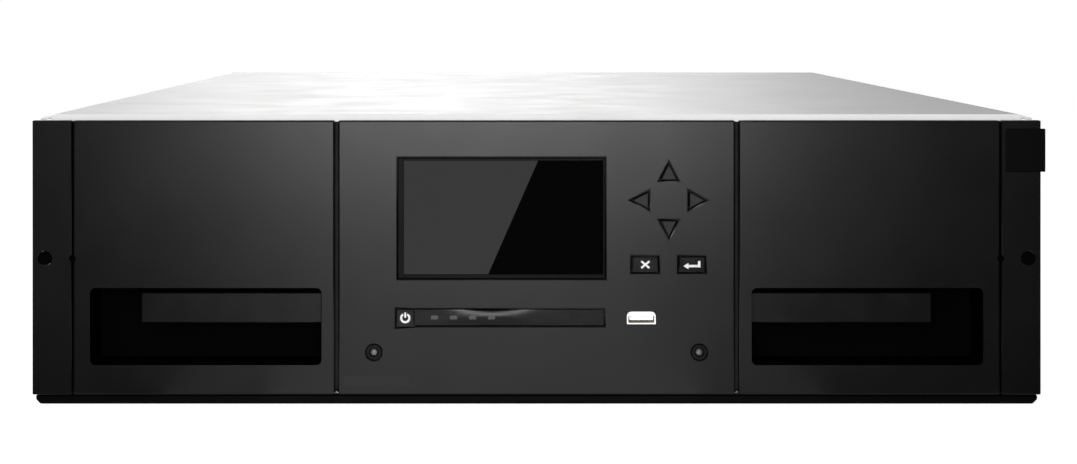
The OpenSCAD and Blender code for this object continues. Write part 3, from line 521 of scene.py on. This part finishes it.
def half_disc(piece, x, reach, height):
    """Half disc in near-black painted shade that fills one side of the pin hole between ear and bezel."""
    turns = [radians(15 * i - 90) for i in range(13)]
    piece.prism([(x + reach * cos(a), HOLE_Z + height * sin(a)) for a in turns], (0.3, 5.5), "hole_black")


piece_for("center_bezel").solid("center_bezel", "front_plastic", 0.7).done(("center_bezel",))
for side, out in (("left", -1), ("right", 1)):
    plate, ear, bar = side + "_magazine_bezel", side + "_ear_cap", side + "_grip"
    # faces deep in each finger pocket take the near-black painted shade
    made = piece_for(plate).solid(plate, "front_plastic", 0.7,
                                  inside=("recess_plastic", lambda x, v, z: v > 1.2 and z < 60))
    half_disc(made, out * (max(abs(x) for x in Span(plate).x) - 0.1), -out * 1.2, 1.5)
    made.done((plate,))
    piece_for(ear).solid(ear, "front_plastic", 0.5).done((ear,))
    piece_for(bar).solid(bar, "grip_plastic", 0.6).done((bar,))
piece_for("base_plinth").solid("base_plinth", "plinth_paint", 0.6).done(("base_plinth",))
piece_for("top_cover").solid("top_cover", "cover_paint", 0.35).done(("top_cover",))
piece_for("badge_plate").solid("badge_plate", "badge_black", 0.35, rounds=3).done(("badge_plate",))
for key in ("up_key", "down_key", "left_key", "right_key"):
    piece_for(key).solid(key, "key_plastic", 0.4).done((key,))


# the three glossy keys, with the plain signs printed on them
def printed_key(key):
    """The key's piece, its middle, and the depths of a printed stroke and of one that crosses it."""
    span = Span(key)
    face = span.v[0]
    made = piece_for(key).solid(key, "key_gloss", 0.35)
    return made, span.mid[0], span.mid[2], (face - 0.04, face + 0.2), (face - 0.03, face + 0.2)


sign, x, z, ink, crossing = printed_key("cancel_key")
sign.stroke((x - 1.9, z - 1.6), (x + 1.9, z + 1.6), 0.95, ink, "print_white")
sign.stroke((x - 1.9, z + 1.6), (x + 1.9, z - 1.6), 0.95, crossing, "print_white")
sign.done(("cancel_key",))

sign, x, z, ink, crossing = printed_key("enter_key")
sign.prism([(x - 4.1, z - 0.7), (x - 1.7, z - 2.2), (x - 1.7, z + 0.8)], ink, "print_white")
sign.stroke((x - 1.8, z - 0.7), (x + 3.9, z - 0.7), 1.15, ink, "print_white")
sign.stroke((x + 3.35, z - 0.7), (x + 3.35, z + 1.7), 1.15, crossing, "print_white")
sign.done(("enter_key",))

sign, x, z, ink, crossing = printed_key("power_button")
turns = [radians(118 + 304 * i / 18) for i in range(19)]
ring = [(x + 2.45 * cos(a), z + 2.45 * sin(a)) for a in turns]
ring += [(x + 1.45 * cos(a), z + 1.45 * sin(a)) for a in reversed(turns)]
sign.prism(ring, ink, "print_white")
sign.stroke((x, z + 0.1), (x, z + 2.7), 0.85, ink, "print_white")
sign.done(("power_button",))

# display: a dark frame round a pane of glass
screen = Span("lcd_module")
display = Piece("display", "chassis", "display_dark")
fx, fz = screen.x, screen.z
pane_x, pane_z = (fx[0] + 2.6, fx[1] - 0.7), (fz[0] + 1.8, fz[1] - 1.1)
display.block(fx, (1.2, screen.v[1]), fz, "display_frame", 0.2)
for x, z in (((fx[0], pane_x[0]), fz), ((pane_x[1], fx[1]), fz), (pane_x, (fz[0], pane_z[0])),
             (pane_x, (pane_z[1], fz[1]))):
    display.block(x, (0.45, 1.6), z, "display_frame", 0.12)
display.block(pane_x, (0.75, 1.4), pane_z, "display_glass", 0.05)
display.done(("lcd_module",))

# light window: a smoked bar with a slightly bowed face, and four lenses under it
strip = Span("led_window")
bar = Piece("light_window", "chassis", "led_dark")
part = bmesh.new()
steps = 24
rows = []
for i in range(steps + 1):
    x = strip.x[0] + (strip.x[1] - strip.x[0]) * i / steps
    bow = 0.3 * (1 - (2 * i / steps - 1) ** 2)
    swell = exp(-((x + 21) / 13) ** 2)
    facets = ((0.4, strip.z[0]), (0.08, strip.z[0] + 0.7), (0, strip.mid[2]), (0.08, strip.z[1] - 0.7),
              (0.4, strip.z[1]))
    rows.append([part.verts.new((x, 0.62 + v * swell - bow, z)) for v, z in facets]
                + [part.verts.new((x, 6, strip.z[1])), part.verts.new((x, 6, strip.z[0]))])
for a, b in zip(rows, rows[1:]):
    for i in range(7):
        part.faces.new((a[i], a[(i + 1) % 7], b[(i + 1) % 7], b[i]))
part.faces.new(rows[0][::-1])
part.faces.new(rows[-1])
bar.add(part, "led_dark", smooth=True)
bar.block((strip.x[0] + 5, strip.x[1]), (6, strip.v[1]), strip.z, "led_dark", 0.3)
for x in (-50, -41, -32, -23):
    bar.prism(rounded((x, x + 3.4), (strip.mid[2] - 0.9, strip.mid[2] + 0.9), 0.5), (0.32, 0.8), "led_lens")
bar.done(("led_window",))

# USB socket: a white shell with a round-shouldered top, the tongue and its four contacts
usb = Span("usb_port")
ux, uz = usb.x, usb.z
back = usb.v[1] - 1.2
shoulder = 2.2
socket = Piece("usb_socket", "chassis", "usb_white")
turns = [radians(15 * i) for i in range(7)]
outline = [(ux[0], uz[0]), (ux[1], uz[0])]
outline += [(ux[1] - shoulder + shoulder * cos(a), uz[1] - shoulder + shoulder * sin(a)) for a in turns]
outline += [(ux[0] + shoulder - shoulder * sin(a), uz[1] - shoulder + shoulder * cos(a)) for a in turns]
socket.prism(outline, (back, usb.v[1]), "frame_black")
side = (uz[0], uz[1] - shoulder)
for x, z in (((ux[0], ux[0] + 0.7), side), ((ux[1] - 0.7, ux[1]), side),
             ((ux[0] + 0.7, ux[1] - 0.7), (uz[0], uz[0] + 0.6))):
    socket.block(x, (0, back), z, "usb_white", 0.15)
crown = [p for p in outline if p[1] > uz[1] - shoulder - 0.01]
socket.prism(crown, (0, back), "usb_white", 0.12, turn=60)
socket.block((ux[0] + 1.2, ux[1] - 1.2), (0.3, back), (uz[0] + 2.0, uz[1] - 2.3), "usb_white", 0.15)
socket.pattern(bars, {"Count": 4, "Step": (2.5, 0, 0), "Size": (1.1, 7.5, 0.2)}, "gold_contact",
               Matrix.Translation((usb.mid[0] - 3.75, 4.6, uz[0] + 1.95)))
socket.done(("usb_port",))

# captive screws: a black head in its counterbore, with a steel hexagon in it
heads = Piece("captive_screws", "chassis", "screw_steel")
for x, v, z in islands("panel_screws"):
    place = Vector((sum(x) / 2, 0, sum(z) / 2))
    heads.turned(place, "v", [(0, v[1]), (2, v[1]), (2, 6), (3.9, 5.8), (3.9, 0.9), (3.5, 0.5), (2.3, 0.5),
                              (2.0, 0.8), (2.0, 2.2), (0, 2.2)], "screw_black", 36)
    heads.turned(place, "v", [(0, 2.3), (1.8, 2.3), (1.75, 1.5), (1.2, 1.2), (0, 1.2)], "socket_steel", 6)
heads.done(("panel_screws",))

# small things set into the front
fittings = Piece("front_fittings", "chassis", "screw_steel")
for x in (-SEAM_X, SEAM_X):
    fittings.turned(Vector((x, 0, 5.8)), "v", [(0, 1.1), (0.7, 1.1), (0.7, 0.5), (0.35, 0.15), (0, 0.1)],
                    "socket_steel", 16)
for x, out in ((Span("left_ear_cap").x[1], -1), (Span("right_ear_cap").x[0], 1)):
    half_disc(fittings, x - out * 0.5, out * 1.8, 1.55)
fittings.done()
plate = Piece("blank_label", "chassis", "front_plastic")
plate.prism(rounded((-91.4, -60.5), (9, 13.4), 0.4), (-0.03, 0.3), "key_plastic", 0.02)
plate.done()
# a near-black disc deep in each ear hole, painted shade in place of the view through the hole
discs = Piece("ear_hole_discs", "chassis", "frame_black")
for x in (-HOLE_X, HOLE_X):
    discs.turned(Vector((x, 0, HOLE_Z)), "v", [(0, 7.9), (3.35, 7.9), (3.35, 0.5), (3.1, 0.4), (0, 0.4)],
                 "hole_black", 32)
discs.done()

# rubber feet in the pocket of the base
feet = Piece("rubber_feet", "chassis", "frame_black")
for x in (-190, 190):
    for v in (70, 790):
        feet.turned(Vector((x, v, 0)), "z", [(0, 0.1), (9, 0.1), (10, 0.9), (11, 4.1), (0, 4.1)],
                    "foot_rubber", 32)
feet.done()

# screws of the cover and of the rear panel: a pan head with a cross on it, the cross a dark inlay in painted
# shade in place of a recess
SIDE_X = 230        # screws further out than this stand on the cover's sides
by_side = {}
for x, v, z in islands("case_screws"):
    side = -1 if sum(x) / 2 < -SIDE_X else 1 if sum(x) / 2 > SIDE_X else 0
    by_side.setdefault(side, []).append((x, v, z))
screws = piece_for("case_screws", "_set")
for side, found in by_side.items():
    x, v, z = found[0]
    radius = (z[1] - z[0]) / 2
    length = (x[1] - x[0]) if side else (v[1] - v[0])
    cap = Piece("cap", "chassis", "screw_steel")
    cap.turned(Vector((0, 0, 0)), "z", [(0, -length), (radius * 0.5, -length), (radius * 0.5, -1.3),
                                        (radius, -1.3), (radius, -0.7), (radius * 0.8, -0.2),
                                        (radius * 0.4, 0), (0, 0)], "screw_steel", 24)
    cross = Piece("cross", "chassis", "screw_steel")
    for turn in (0, pi / 2):
        part = bmesh.new()
        bmesh.ops.create_cube(part, size=1, matrix=Matrix.Rotation(turn, 4, "Z") @ Matrix.Diagonal(
            (radius * 1.1, radius * 0.3, 0.3 + 0.01 * turn, 1)))
        cross.add(part, "vent_dark")
    lay = Matrix.Rotation(side * pi / 2, 4, "Y") if side else Matrix.Rotation(-pi / 2, 4, "X")
    points = []
    for x, v, z in found:
        out = (x[1] if side > 0 else x[0], sum(v) / 2) if side else (sum(x) / 2, v[1])
        points.append((*out, sum(z) / 2))
    for piece, paint in ((cap, "screw_steel"), (cross, "vent_dark")):
        piece.shape.transform(lay)
        scatter(screws, piece.shape, paint, points)
screws.done(("case_screws",))


# ---- rear face ------------------------------------------------------------
def screw(piece, x, v, z, radius):
    """A pan head with a hexagon socket, proud of the face at v."""
    profile = [(0, -0.2), (radius, -0.2), (radius, 0.9), (radius * 0.75, 1.3), (radius * 0.5, 1.4),
               (radius * 0.5, 0.5), (0, 0.5)]
    piece.turned(Vector((x, v, z)), "v", profile, "screw_steel", 20)


def lens(piece, x, v, z, radius=1.1):
    profile = [(0, -0.2), (radius, -0.2), (radius, 0.25), (radius * 0.6, 0.6), (0, 0.7)]
    piece.turned(Vector((x, v, z)), "v", profile, "led_lens", 16)


def latch(piece, x, v, z):
    """A lever that locks a module, hooked over its face."""
    end = x + 19
    piece.block((x, end), (v, v + 2.2), (z, z + 6.2), "latch_green", 0.6)
    piece.block((end - 3.6, end), (v + 1.6, v + 8), (z + 0.3, z + 5.9), "latch_green", 0.7)
    piece.pattern(bars, {"Count": 5, "Step": (1.6, 0, 0), "Size": (0.7, 0.5, 4.8)}, "latch_green",
                  Matrix.Translation((x + 1.8, v + 2.3, z + 3.1)))


def module_face(node):
    """The room of a module and a piece for what sits on its rear plate."""
    return Span(node), piece_for(node, "_face")


plate_v = Span("psu_1").v[1] - 11.0     # where the rear plates of all modules end
for node in ("psu_1", "psu_2"):
    span, face = module_face(node)
    z0 = span.z[0]
    inlet_x, inlet_z = (span.x[0] + 12, span.x[0] + 39.4), (z0 + 10, z0 + 30)
    # the inlet: a black liner with a flange, and three pins
    face.rim(inlet_x, (plate_v - 17.9, plate_v + 0.9), inlet_z, 1.3, "frame_black", 0.2, gap=0.02)
    face.block((inlet_x[0] + 1.3, inlet_x[1] - 1.3), (plate_v - 17.9, plate_v - 16.5),
               (inlet_z[0] + 1.3, inlet_z[1] - 1.3), "frame_black")
    mid = sum(inlet_x) / 2
    for x, z in ((mid - 7, z0 + 18.5), (mid + 7, z0 + 18.5), (mid, z0 + 22.5)):
        face.block((x - 1, x + 1), (plate_v - 17, plate_v - 3), (z - 2.5, z + 2.5), "bright_steel", 0.35)
    vent(face, (span.x[0] + 6, span.x[1] - 6), (z0 + 36, z0 + 51), plate_v)
    vent(face, (inlet_x[1] + 6, span.x[1] - 46), (z0 + 9, z0 + 30), plate_v)
    lens(face, span.x[1] - 8, plate_v, z0 + 30)
    lens(face, span.x[1] - 14, plate_v, z0 + 30)
    latch(face, span.x[1] - 24, plate_v, z0 + 2.6)
    for z in (z0 + 5, z0 + 31):
        screw(face, span.x[0] + 6, plate_v, z, 2.4)
    face.done()

# the controller: two network sockets, vents and a blank label
span, face = module_face("controller")
z0 = span.z[0]
for left in (span.x[0] + 10, span.x[0] + 34):
    x, z = (left, left + 16), (z0 + 26, z0 + 39)
    face.rim(x, (plate_v - 13.9, plate_v + 0.5), z, 0.9, "bright_steel", 0.15, gap=0.02)
    face.block((x[0] + 0.9, x[1] - 0.9), (plate_v - 13.9, plate_v - 12.5), (z[0] + 0.9, z[1] - 0.9),
               "frame_black")
    face.pattern(bars, {"Count": 8, "Step": (1.1, 0, 0), "Size": (0.5, 8, 0.4)}, "gold_contact",
                 Matrix.Translation((sum(x) / 2 - 3.85, plate_v - 8.5, z[1] - 1.5)))
    lens(face, x[0] + 2, plate_v, z[1] + 3, 0.9)
    lens(face, x[1] - 2, plate_v, z[1] + 3, 0.9)
vent(face, (span.x[0] + 60, span.x[1] - 5), (z0 + 26, z0 + 47), plate_v)
vent(face, (span.x[0] + 8, span.x[0] + 54), (z0 + 45, z0 + 49), plate_v)
face.prism(rounded((span.x[0] + 9, span.x[0] + 48), (z0 + 7, z0 + 19), 1), (plate_v - 0.1, plate_v + 0.12),
           "label_card")
latch(face, span.x[1] - 24, plate_v, z0 + 2.6)
screw(face, span.x[0] + 5.5, plate_v, z0 + 5, 2.4)
face.done()

# the drives: vents, two data sockets with their tongues, and a blank label
for node in ("drive_1", "drive_2", "drive_3"):
    span, face = module_face(node)
    z0 = span.z[0]
    vent(face, (-66, -24), (z0 + 6, z0 + 34), plate_v)
    vent(face, (-14, 16), (z0 + 24, z0 + 36), plate_v)
    for left in (24, 46):
        x = (left, left + 18)
        face.rim(x, (plate_v - 0.1, plate_v + 3.2), (z0 + 20, z0 + 29), 0.8, "bright_steel", 0.2)
        # each socket's opening is a dark plate in painted shade
        face.block((x[0] + 0.8, x[1] - 0.8), (plate_v - 0.1, plate_v + 0.4), (z0 + 20.8, z0 + 28.2),
                   "vent_dark")
        face.block((x[0] + 2, x[1] - 2), (plate_v, plate_v + 2.4), (z0 + 23.4, z0 + 24.8), "chip_black", 0.15)
        lens(face, x[0] + 9, plate_v, z0 + 33, 0.9)
    face.prism(rounded((24, 62), (z0 + 5, z0 + 14), 1), (plate_v - 0.1, plate_v + 0.12), "label_card")
    for x in (-70, 70):
        for z in (z0 + 6, z0 + 34):
            screw(face, x, plate_v, z, 2.3)
    face.done()

# the panel itself: vents round the fan and over the upper supply, and the fan's screws
fan, control, supply = Span("rear_fan"), Span("controller"), Span("psu_2")
back_v = Span("rear_panel").v[1]
face = Piece("rear_panel_face", "chassis", "chassis_steel")
for x, z in (((control.x[0], fan.x[0] - 8), (control.z[1] + 8, 126)),
             ((fan.x[1] + 8, control.x[1]), (control.z[1] + 8, 126)),
             ((supply.x[0] + 6, supply.x[1] - 6), (supply.z[1] + 3.5, 130))):
    vent(face, x, z, back_v, 4.6, 1.6)
for x in (fan.mid[0] - 25, fan.mid[0] + 25):
    for z in (fan.mid[2] - 25, fan.mid[2] + 25):
        screw(face, x, back_v, z, 2.5)
face.done()
hub = Piece("fan_hub_cap", "rear_fan", "fan_black")
hub.turned(Vector((fan.mid[0], 0, fan.mid[2])), "v", [(2, fan.v[0] - 0.6), (9, fan.v[0] - 0.6),
                                                      (9.6, fan.v[0] + 0.1), (2, fan.v[0] + 0.1)],
           "fan_black", 36, hollow=True)
hub.done()


# ---- magazines and cartridges ---------------------------------------------
def cartridge_fittings(name, node, found, out):
    """Blank label, corner notches and ridges for cartridges whose grip edge faces out along x."""
    fitted = Piece(name, body_of[node], slot_of[node])
    x, v, z = found[0]
    wide, high = v[1] - v[0], z[1] - z[0]
    points = [((x[1] if out > 0 else x[0]), sum(v) / 2, sum(z) / 2) for x, v, z in found]
    for size, middle, paint, soft in (
            ((0.4, wide * 0.58, high * 0.52), (0, 0, -1.5), "label_card", 0.08),
            ((0.5, wide * 0.62, 0.6), (0, 0, high * 0.5 - 3), "cartridge_plastic", 0.12),
            ((0.5, wide * 0.62, 0.6), (0, 0, high * 0.5 - 4.6), "cartridge_plastic", 0.12),
            ((0.5, 5.5, high * 0.5), (0, wide * 0.37, -1.5), "chip_black", 0.12)):
        shape = Piece("shape", body_of[node], slot_of[node])
        shape.block(*[(m - s / 2, m + s / 2) for m, s in zip(middle, size)], paint, soft)
        scatter(fitted, shape.shape, paint, points)
    fitted.done()


RIBS = 22
for side, out in (("left", 1), ("right", -1)):
    node = side + "_cartridges"
    cartridge_fittings(side + "_cartridge_labels", node, islands(node), out)
    # ribs on the outside wall and on the roof of the tray
    tray = Span(side + "_magazine_tray")
    wall = tray.x[0] if side == "left" else tray.x[1]
    ribs = Piece(side + "_tray_ribs", side + "_magazine", "magazine_plastic")
    step = (tray.v[1] - tray.v[0] - 24) / (RIBS - 1)
    for size, x, z in (((0.9, 1.6, tray.z[1] - tray.z[0] - 14), wall, tray.mid[2]),
                       ((tray.x[1] - tray.x[0] - 18, 1.6, 0.8), tray.mid[0], tray.z[1])):
        ribs.pattern(bars, {"Count": RIBS, "Step": (0, step, 0), "Size": size}, "magazine_plastic",
                     Matrix.Translation((x, tray.v[0] + 12, z)))
    for z in (tray.z[0] + 5, tray.z[1] - 5):
        ribs.block((wall - 0.45, wall + 0.45), (tray.v[0] + 6, tray.v[1] - 6), (z - 0.8, z + 0.8),
                   "magazine_plastic", 0.2)
    ribs.done()
held = Span("held_cartridge")
cartridge_fittings("held_cartridge_label", "held_cartridge", [(held.x, held.v, held.z)], 1)

# ---- picker ---------------------------------------------------------------
LEAD = 8            # rise of the lead screw for one turn
lead = Span("lead_screw")
low, high = lead.z
core = Piece("threaded_screw", "lead_screw", slot_of["lead_screw"])
core.turned(Vector((lead.mid[0], lead.mid[1], 0)), "z",
            [(0, low), (2.5, low), (2.9, low + 0.5), (2.9, low + 4), (2.55, low + 4.4), (2.55, high - 4.4),
             (2.9, high - 4), (2.9, high - 0.5), (2.5, high), (0, high)], "rod_steel", 28)
rise = high - low - 12
core.pattern(thread, {"Turns": rise / LEAD, "Radius": 2.6, "Rise": rise, "Wire": 0.38}, "rod_steel",
             Matrix.Translation((lead.mid[0], lead.mid[1], low + 6)))
core.done(("lead_screw",))

TOOTH = 3           # from one tooth of the belt to the next
belt = Span("y_belt")
teeth = Piece("belt_teeth", "chassis", slot_of["y_belt"])
count = int((belt.v[1] - belt.v[0] - 24) / TOOTH)
for x in (belt.x[0] + 1.45, belt.x[1] - 1.45):
    teeth.pattern(bars, {"Count": count, "Step": (0, TOOTH, 0),
                         "Size": (0.5, 1.4, belt.z[1] - belt.z[0] - 0.4)}, "belt_rubber",
                  Matrix.Translation((x, belt.v[0] + 12, belt.mid[2])))
teeth.done()

for node, radius in (("lift_motor", 10.0), ("turret_motor", 8.0), ("y_motor", 9.0)):
    span = Span(node)
    top = span.z[1]
    cap = piece_for(node, "_cap")
    cap.turned(Vector((span.mid[0], span.mid[1], 0)), "z",
               [(0, top - 0.1), (radius * 0.8, top - 0.1), (radius * 0.8, top + 0.25),
                (radius * 0.5, top + 0.4), (0, top + 0.4)], "bright_steel", 32)
    cap.done()

reader = Span("barcode_reader")
glass = Piece("reader_window", body_of["barcode_reader"], slot_of["barcode_reader"])
glass.prism(rounded((reader.x[0] + 3, reader.x[1] - 3), (reader.z[0] + 5, reader.z[1] - 5), 1.2),
            (reader.v[0] - 0.15, reader.v[0] + 0.3), "display_glass", 0.05)
glass.done()

# ---- boards ---------------------------------------------------------------
# chips and, where deeper, white sockets on the back of the panel board, then rows of small parts
board = Span("panel_board").v[1]
parts = piece_for("panel_board", "_parts")
for x, z, w, h, deep in ((-40, 88, 24, 24, 1.6), (10, 84, 14, 14, 1.4), (14, 52, 10, 18, 1.2),
                         (-60, 56, 22, 8, 5.5), (40, 30, 26, 7, 5.5), (-12, 40, 12, 9, 1.4)):
    parts.block((x - w / 2, x + w / 2), (board - 0.1, board + deep), (z - h / 2, z + h / 2),
                "chip_black" if deep < 3 else "usb_white", 0.15)
for x, z in ((-24, 100), (-24, 76), (28, 96), (28, 70), (-44, 68)):
    parts.pattern(bars, {"Count": 7, "Step": (2.2, 0, 0), "Size": (1.2, 0.8, 0.7)}, "socket_steel",
                  Matrix.Translation((x - 6.6, board + 0.3, z)))
parts.done()

# ---- everything else keeps its solid, with its own finish ------------------
paint_of = {"display_dark": "display_glass"}
for node, solid in frame["nodes"].items():
    slot = slot_of[node]
    solid.data.materials.clear()
    solid.data.materials.append(finishes[paint_of.get(slot, slot)])

# ---- the room -------------------------------------------------------------
# Lengths here are in metres.
scene = bpy.context.scene
BLACK, WHITE = (0, 0, 0, 1), (1, 1, 1, 1)
LIFT = 0.0004       # of a card over the floor, and of the machine's base over the floor below it


def stage_sheet(name, corners, paint):
    mesh = bpy.data.meshes.new(name)
    mesh.from_pydata(corners, [], [range(len(corners))])
    mesh.materials.append(paint)
    made = bpy.data.objects.new(name, mesh)
    scene.collection.objects.link(made)
    return made


def room_paint(name, build):
    """A material whose surface is the shader socket that build returns."""
    made = bpy.data.materials.new(name)
    made.use_nodes = True
    tree = made.node_tree
    tree.nodes.clear()
    put(tree, "ShaderNodeOutputMaterial", {"Surface": build(tree)})
    return made


def highest(tree, *sockets):
    """The highest of some values."""
    result = sockets[0]
    for socket in sockets[1:]:
        result = put(tree, "ShaderNodeMath", {0: result, 1: socket}, operation="MAXIMUM").outputs[0]
    return result


def floor_shader(tree):
    """A pale floor that takes shadows, and one even white in a reflection."""
    ray = put(tree, "ShaderNodeLightPath").outputs
    diffuse = put(tree, "ShaderNodeBsdfDiffuse", {"Color": (0.6, 0.6, 0.6, 1)})
    strength = put(tree, "ShaderNodeMath", {0: ray["Is Camera Ray"], 1: 0.8}, operation="MULTIPLY")
    lit = put(tree, "ShaderNodeEmission", {"Strength": strength.outputs[0]})
    both = put(tree, "ShaderNodeAddShader", {0: diffuse.outputs[0], 1: lit.outputs[0]})
    plain = put(tree, "ShaderNodeEmission")
    mirrored = highest(tree, ray["Is Glossy Ray"], ray["Is Transmission Ray"])
    return put(tree, "ShaderNodeMixShader", {0: mirrored, 1: both.outputs[0], 2: plain.outputs[0]}).outputs[0]


def flag_shader(tree):
    return put(tree, "ShaderNodeEmission", {"Color": BLACK}).outputs[0]


def bounce_shader(tree):
    """A bright sheet on the floor, which lifts the lower half of a dark front."""
    return put(tree, "ShaderNodeEmission", {"Strength": 2.2}).outputs[0]


def backdrop_shader(tree):
    """Bright behind the cover and dim to its right, as a backdrop lit from one side."""
    place = put(tree, "ShaderNodeTexCoord")
    parts = put(tree, "ShaderNodeSeparateXYZ", {0: place.outputs["Object"]})
    span = put(tree, "ShaderNodeMapRange", {"From Min": -1.5, "From Max": 1.5, "Value": parts.outputs["X"]})
    bright = put(tree, "ShaderNodeValToRGB", {"Fac": span.outputs["Result"]})
    bright.color_ramp.interpolation = "EASE"
    stops = bright.color_ramp.elements
    stops[0].position, stops[0].color = 0.0, (0.1, 0.1, 0.1, 1)
    stops[1].position, stops[1].color = 1.0, (0.02, 0.02, 0.02, 1)
    for where, level in ((0.25, 0.3), (0.36, 0.75), (0.44, 1.0), (0.5, 0.85), (0.72, 0.05)):
        stops.new(where).color = (level, level, level, 1)
    return put(tree, "ShaderNodeEmission", {"Strength": 3.2, "Color": bright.outputs["Color"]}).outputs[0]


stage_sheet("floor", [(-30, -30, -LIFT), (30, -30, -LIFT), (30, 30, -LIFT), (-30, 30, -LIFT)],
            room_paint("floor_paint", floor_shader))

# cards that only reflections see, as a studio has beside a dark glossy front
card = room_paint("card_black", flag_shader)


def flag(name, corners, paint=card):
    made = stage_sheet(name, corners, paint)
    made.visible_camera = made.visible_diffuse = made.visible_shadow = False
    made.visible_transmission = made.visible_volume_scatter = False


near, far = FRONT - 0.60, FRONT - 6.0
close, wall = FRONT - 0.004, FRONT - 2.6
flag("right_floor_card", [(-0.0273, near, LIFT), (3, near, LIFT), (3, far, LIFT), (0.1745, far, LIFT)])
flag("left_floor_card", [(-3, near, LIFT), (-0.11, near, LIFT), (-0.16, FRONT - 2.2, LIFT), (-3, far, LIFT)])
flag("wall_card", [(-3, wall, 0), (3, wall, 0), (3, wall, 3), (-3, wall, 3)])
for x in (-1.6, 1.6):
    flag("side_card", [(x, wall, 0), (x, FRONT - 0.05, 0), (x, FRONT - 0.05, 2), (x, wall, 2)])
bounce = room_paint("card_white", bounce_shader)
for a, b, paint in ((-3, -0.18, card), (-0.13, 0.08, bounce), (0.14, 3, card)):
    flag("near_floor_card", [(a, close, LIFT), (b, close, LIFT), (b, near, LIFT), (a, near, LIFT)], paint)
flag("backdrop", [(-3, 2.5, 0), (3, 2.5, 0), (3, 2.5, 2.5), (-3, 2.5, 2.5)],
     room_paint("backdrop_paint", backdrop_shader))

# the world: full white to a camera, a mirror or glass, and a third of it as light
WORLD_LIGHT = 0.35
world = bpy.data.worlds.new("room")
scene.world = world
world.use_nodes = True
sky = world.node_tree
background = sky.nodes["Background"].inputs
background["Color"].default_value = WHITE
ray = put(sky, "ShaderNodeLightPath").outputs
seen = highest(sky, ray["Is Camera Ray"], ray["Is Glossy Ray"], ray["Is Transmission Ray"])
level = put(sky, "ShaderNodeMapRange", {"To Min": WORLD_LIGHT, "To Max": 1.0, "Value": seen})
sky.links.new(level.outputs["Result"], background["Strength"])


def softbox(name, place, aim, size, watts, shine=True):
    lamp = bpy.data.lights.new(name, "AREA")
    lamp.shape = "RECTANGLE"
    lamp.size, lamp.size_y = size
    lamp.energy = watts
    made = bpy.data.objects.new(name, lamp)
    made.location = place
    made.rotation_euler = (Vector(aim) - Vector(place)).to_track_quat("-Z", "Y").to_euler()
    made.visible_camera = False
    made.visible_glossy = shine
    scene.collection.objects.link(made)


softbox("front_light", (-0.03, FRONT - 1.5, 0.215), (-0.02, FRONT, 0.10), (0.48, 0.35), 13)
softbox("fill_light", (-0.4, FRONT - 1.6, 0.7), (-0.02, FRONT, 0.10), (0.6, 0.6), 16, shine=False)
softbox("top_light", (-0.7, 0.2, 1.5), (-0.05, 0.0, 0.13), (1.2, 1.2), 6)

# a level camera, so that upright edges stay upright, with the shift that frames the machine
camera = bpy.data.objects.new("camera", bpy.data.cameras.new("camera"))
camera.location = (-0.0154, FRONT - 1.267, 0.1864)
camera.rotation_euler = (pi / 2, 0, 0)
camera.data.sensor_width = 36
camera.data.lens = 89.55
camera.data.shift_x = 0.032
camera.data.shift_y = -0.206
camera.data.clip_end = 100
scene.collection.objects.link(camera)
scene.camera = camera
scene.view_settings.view_transform = "Standard"
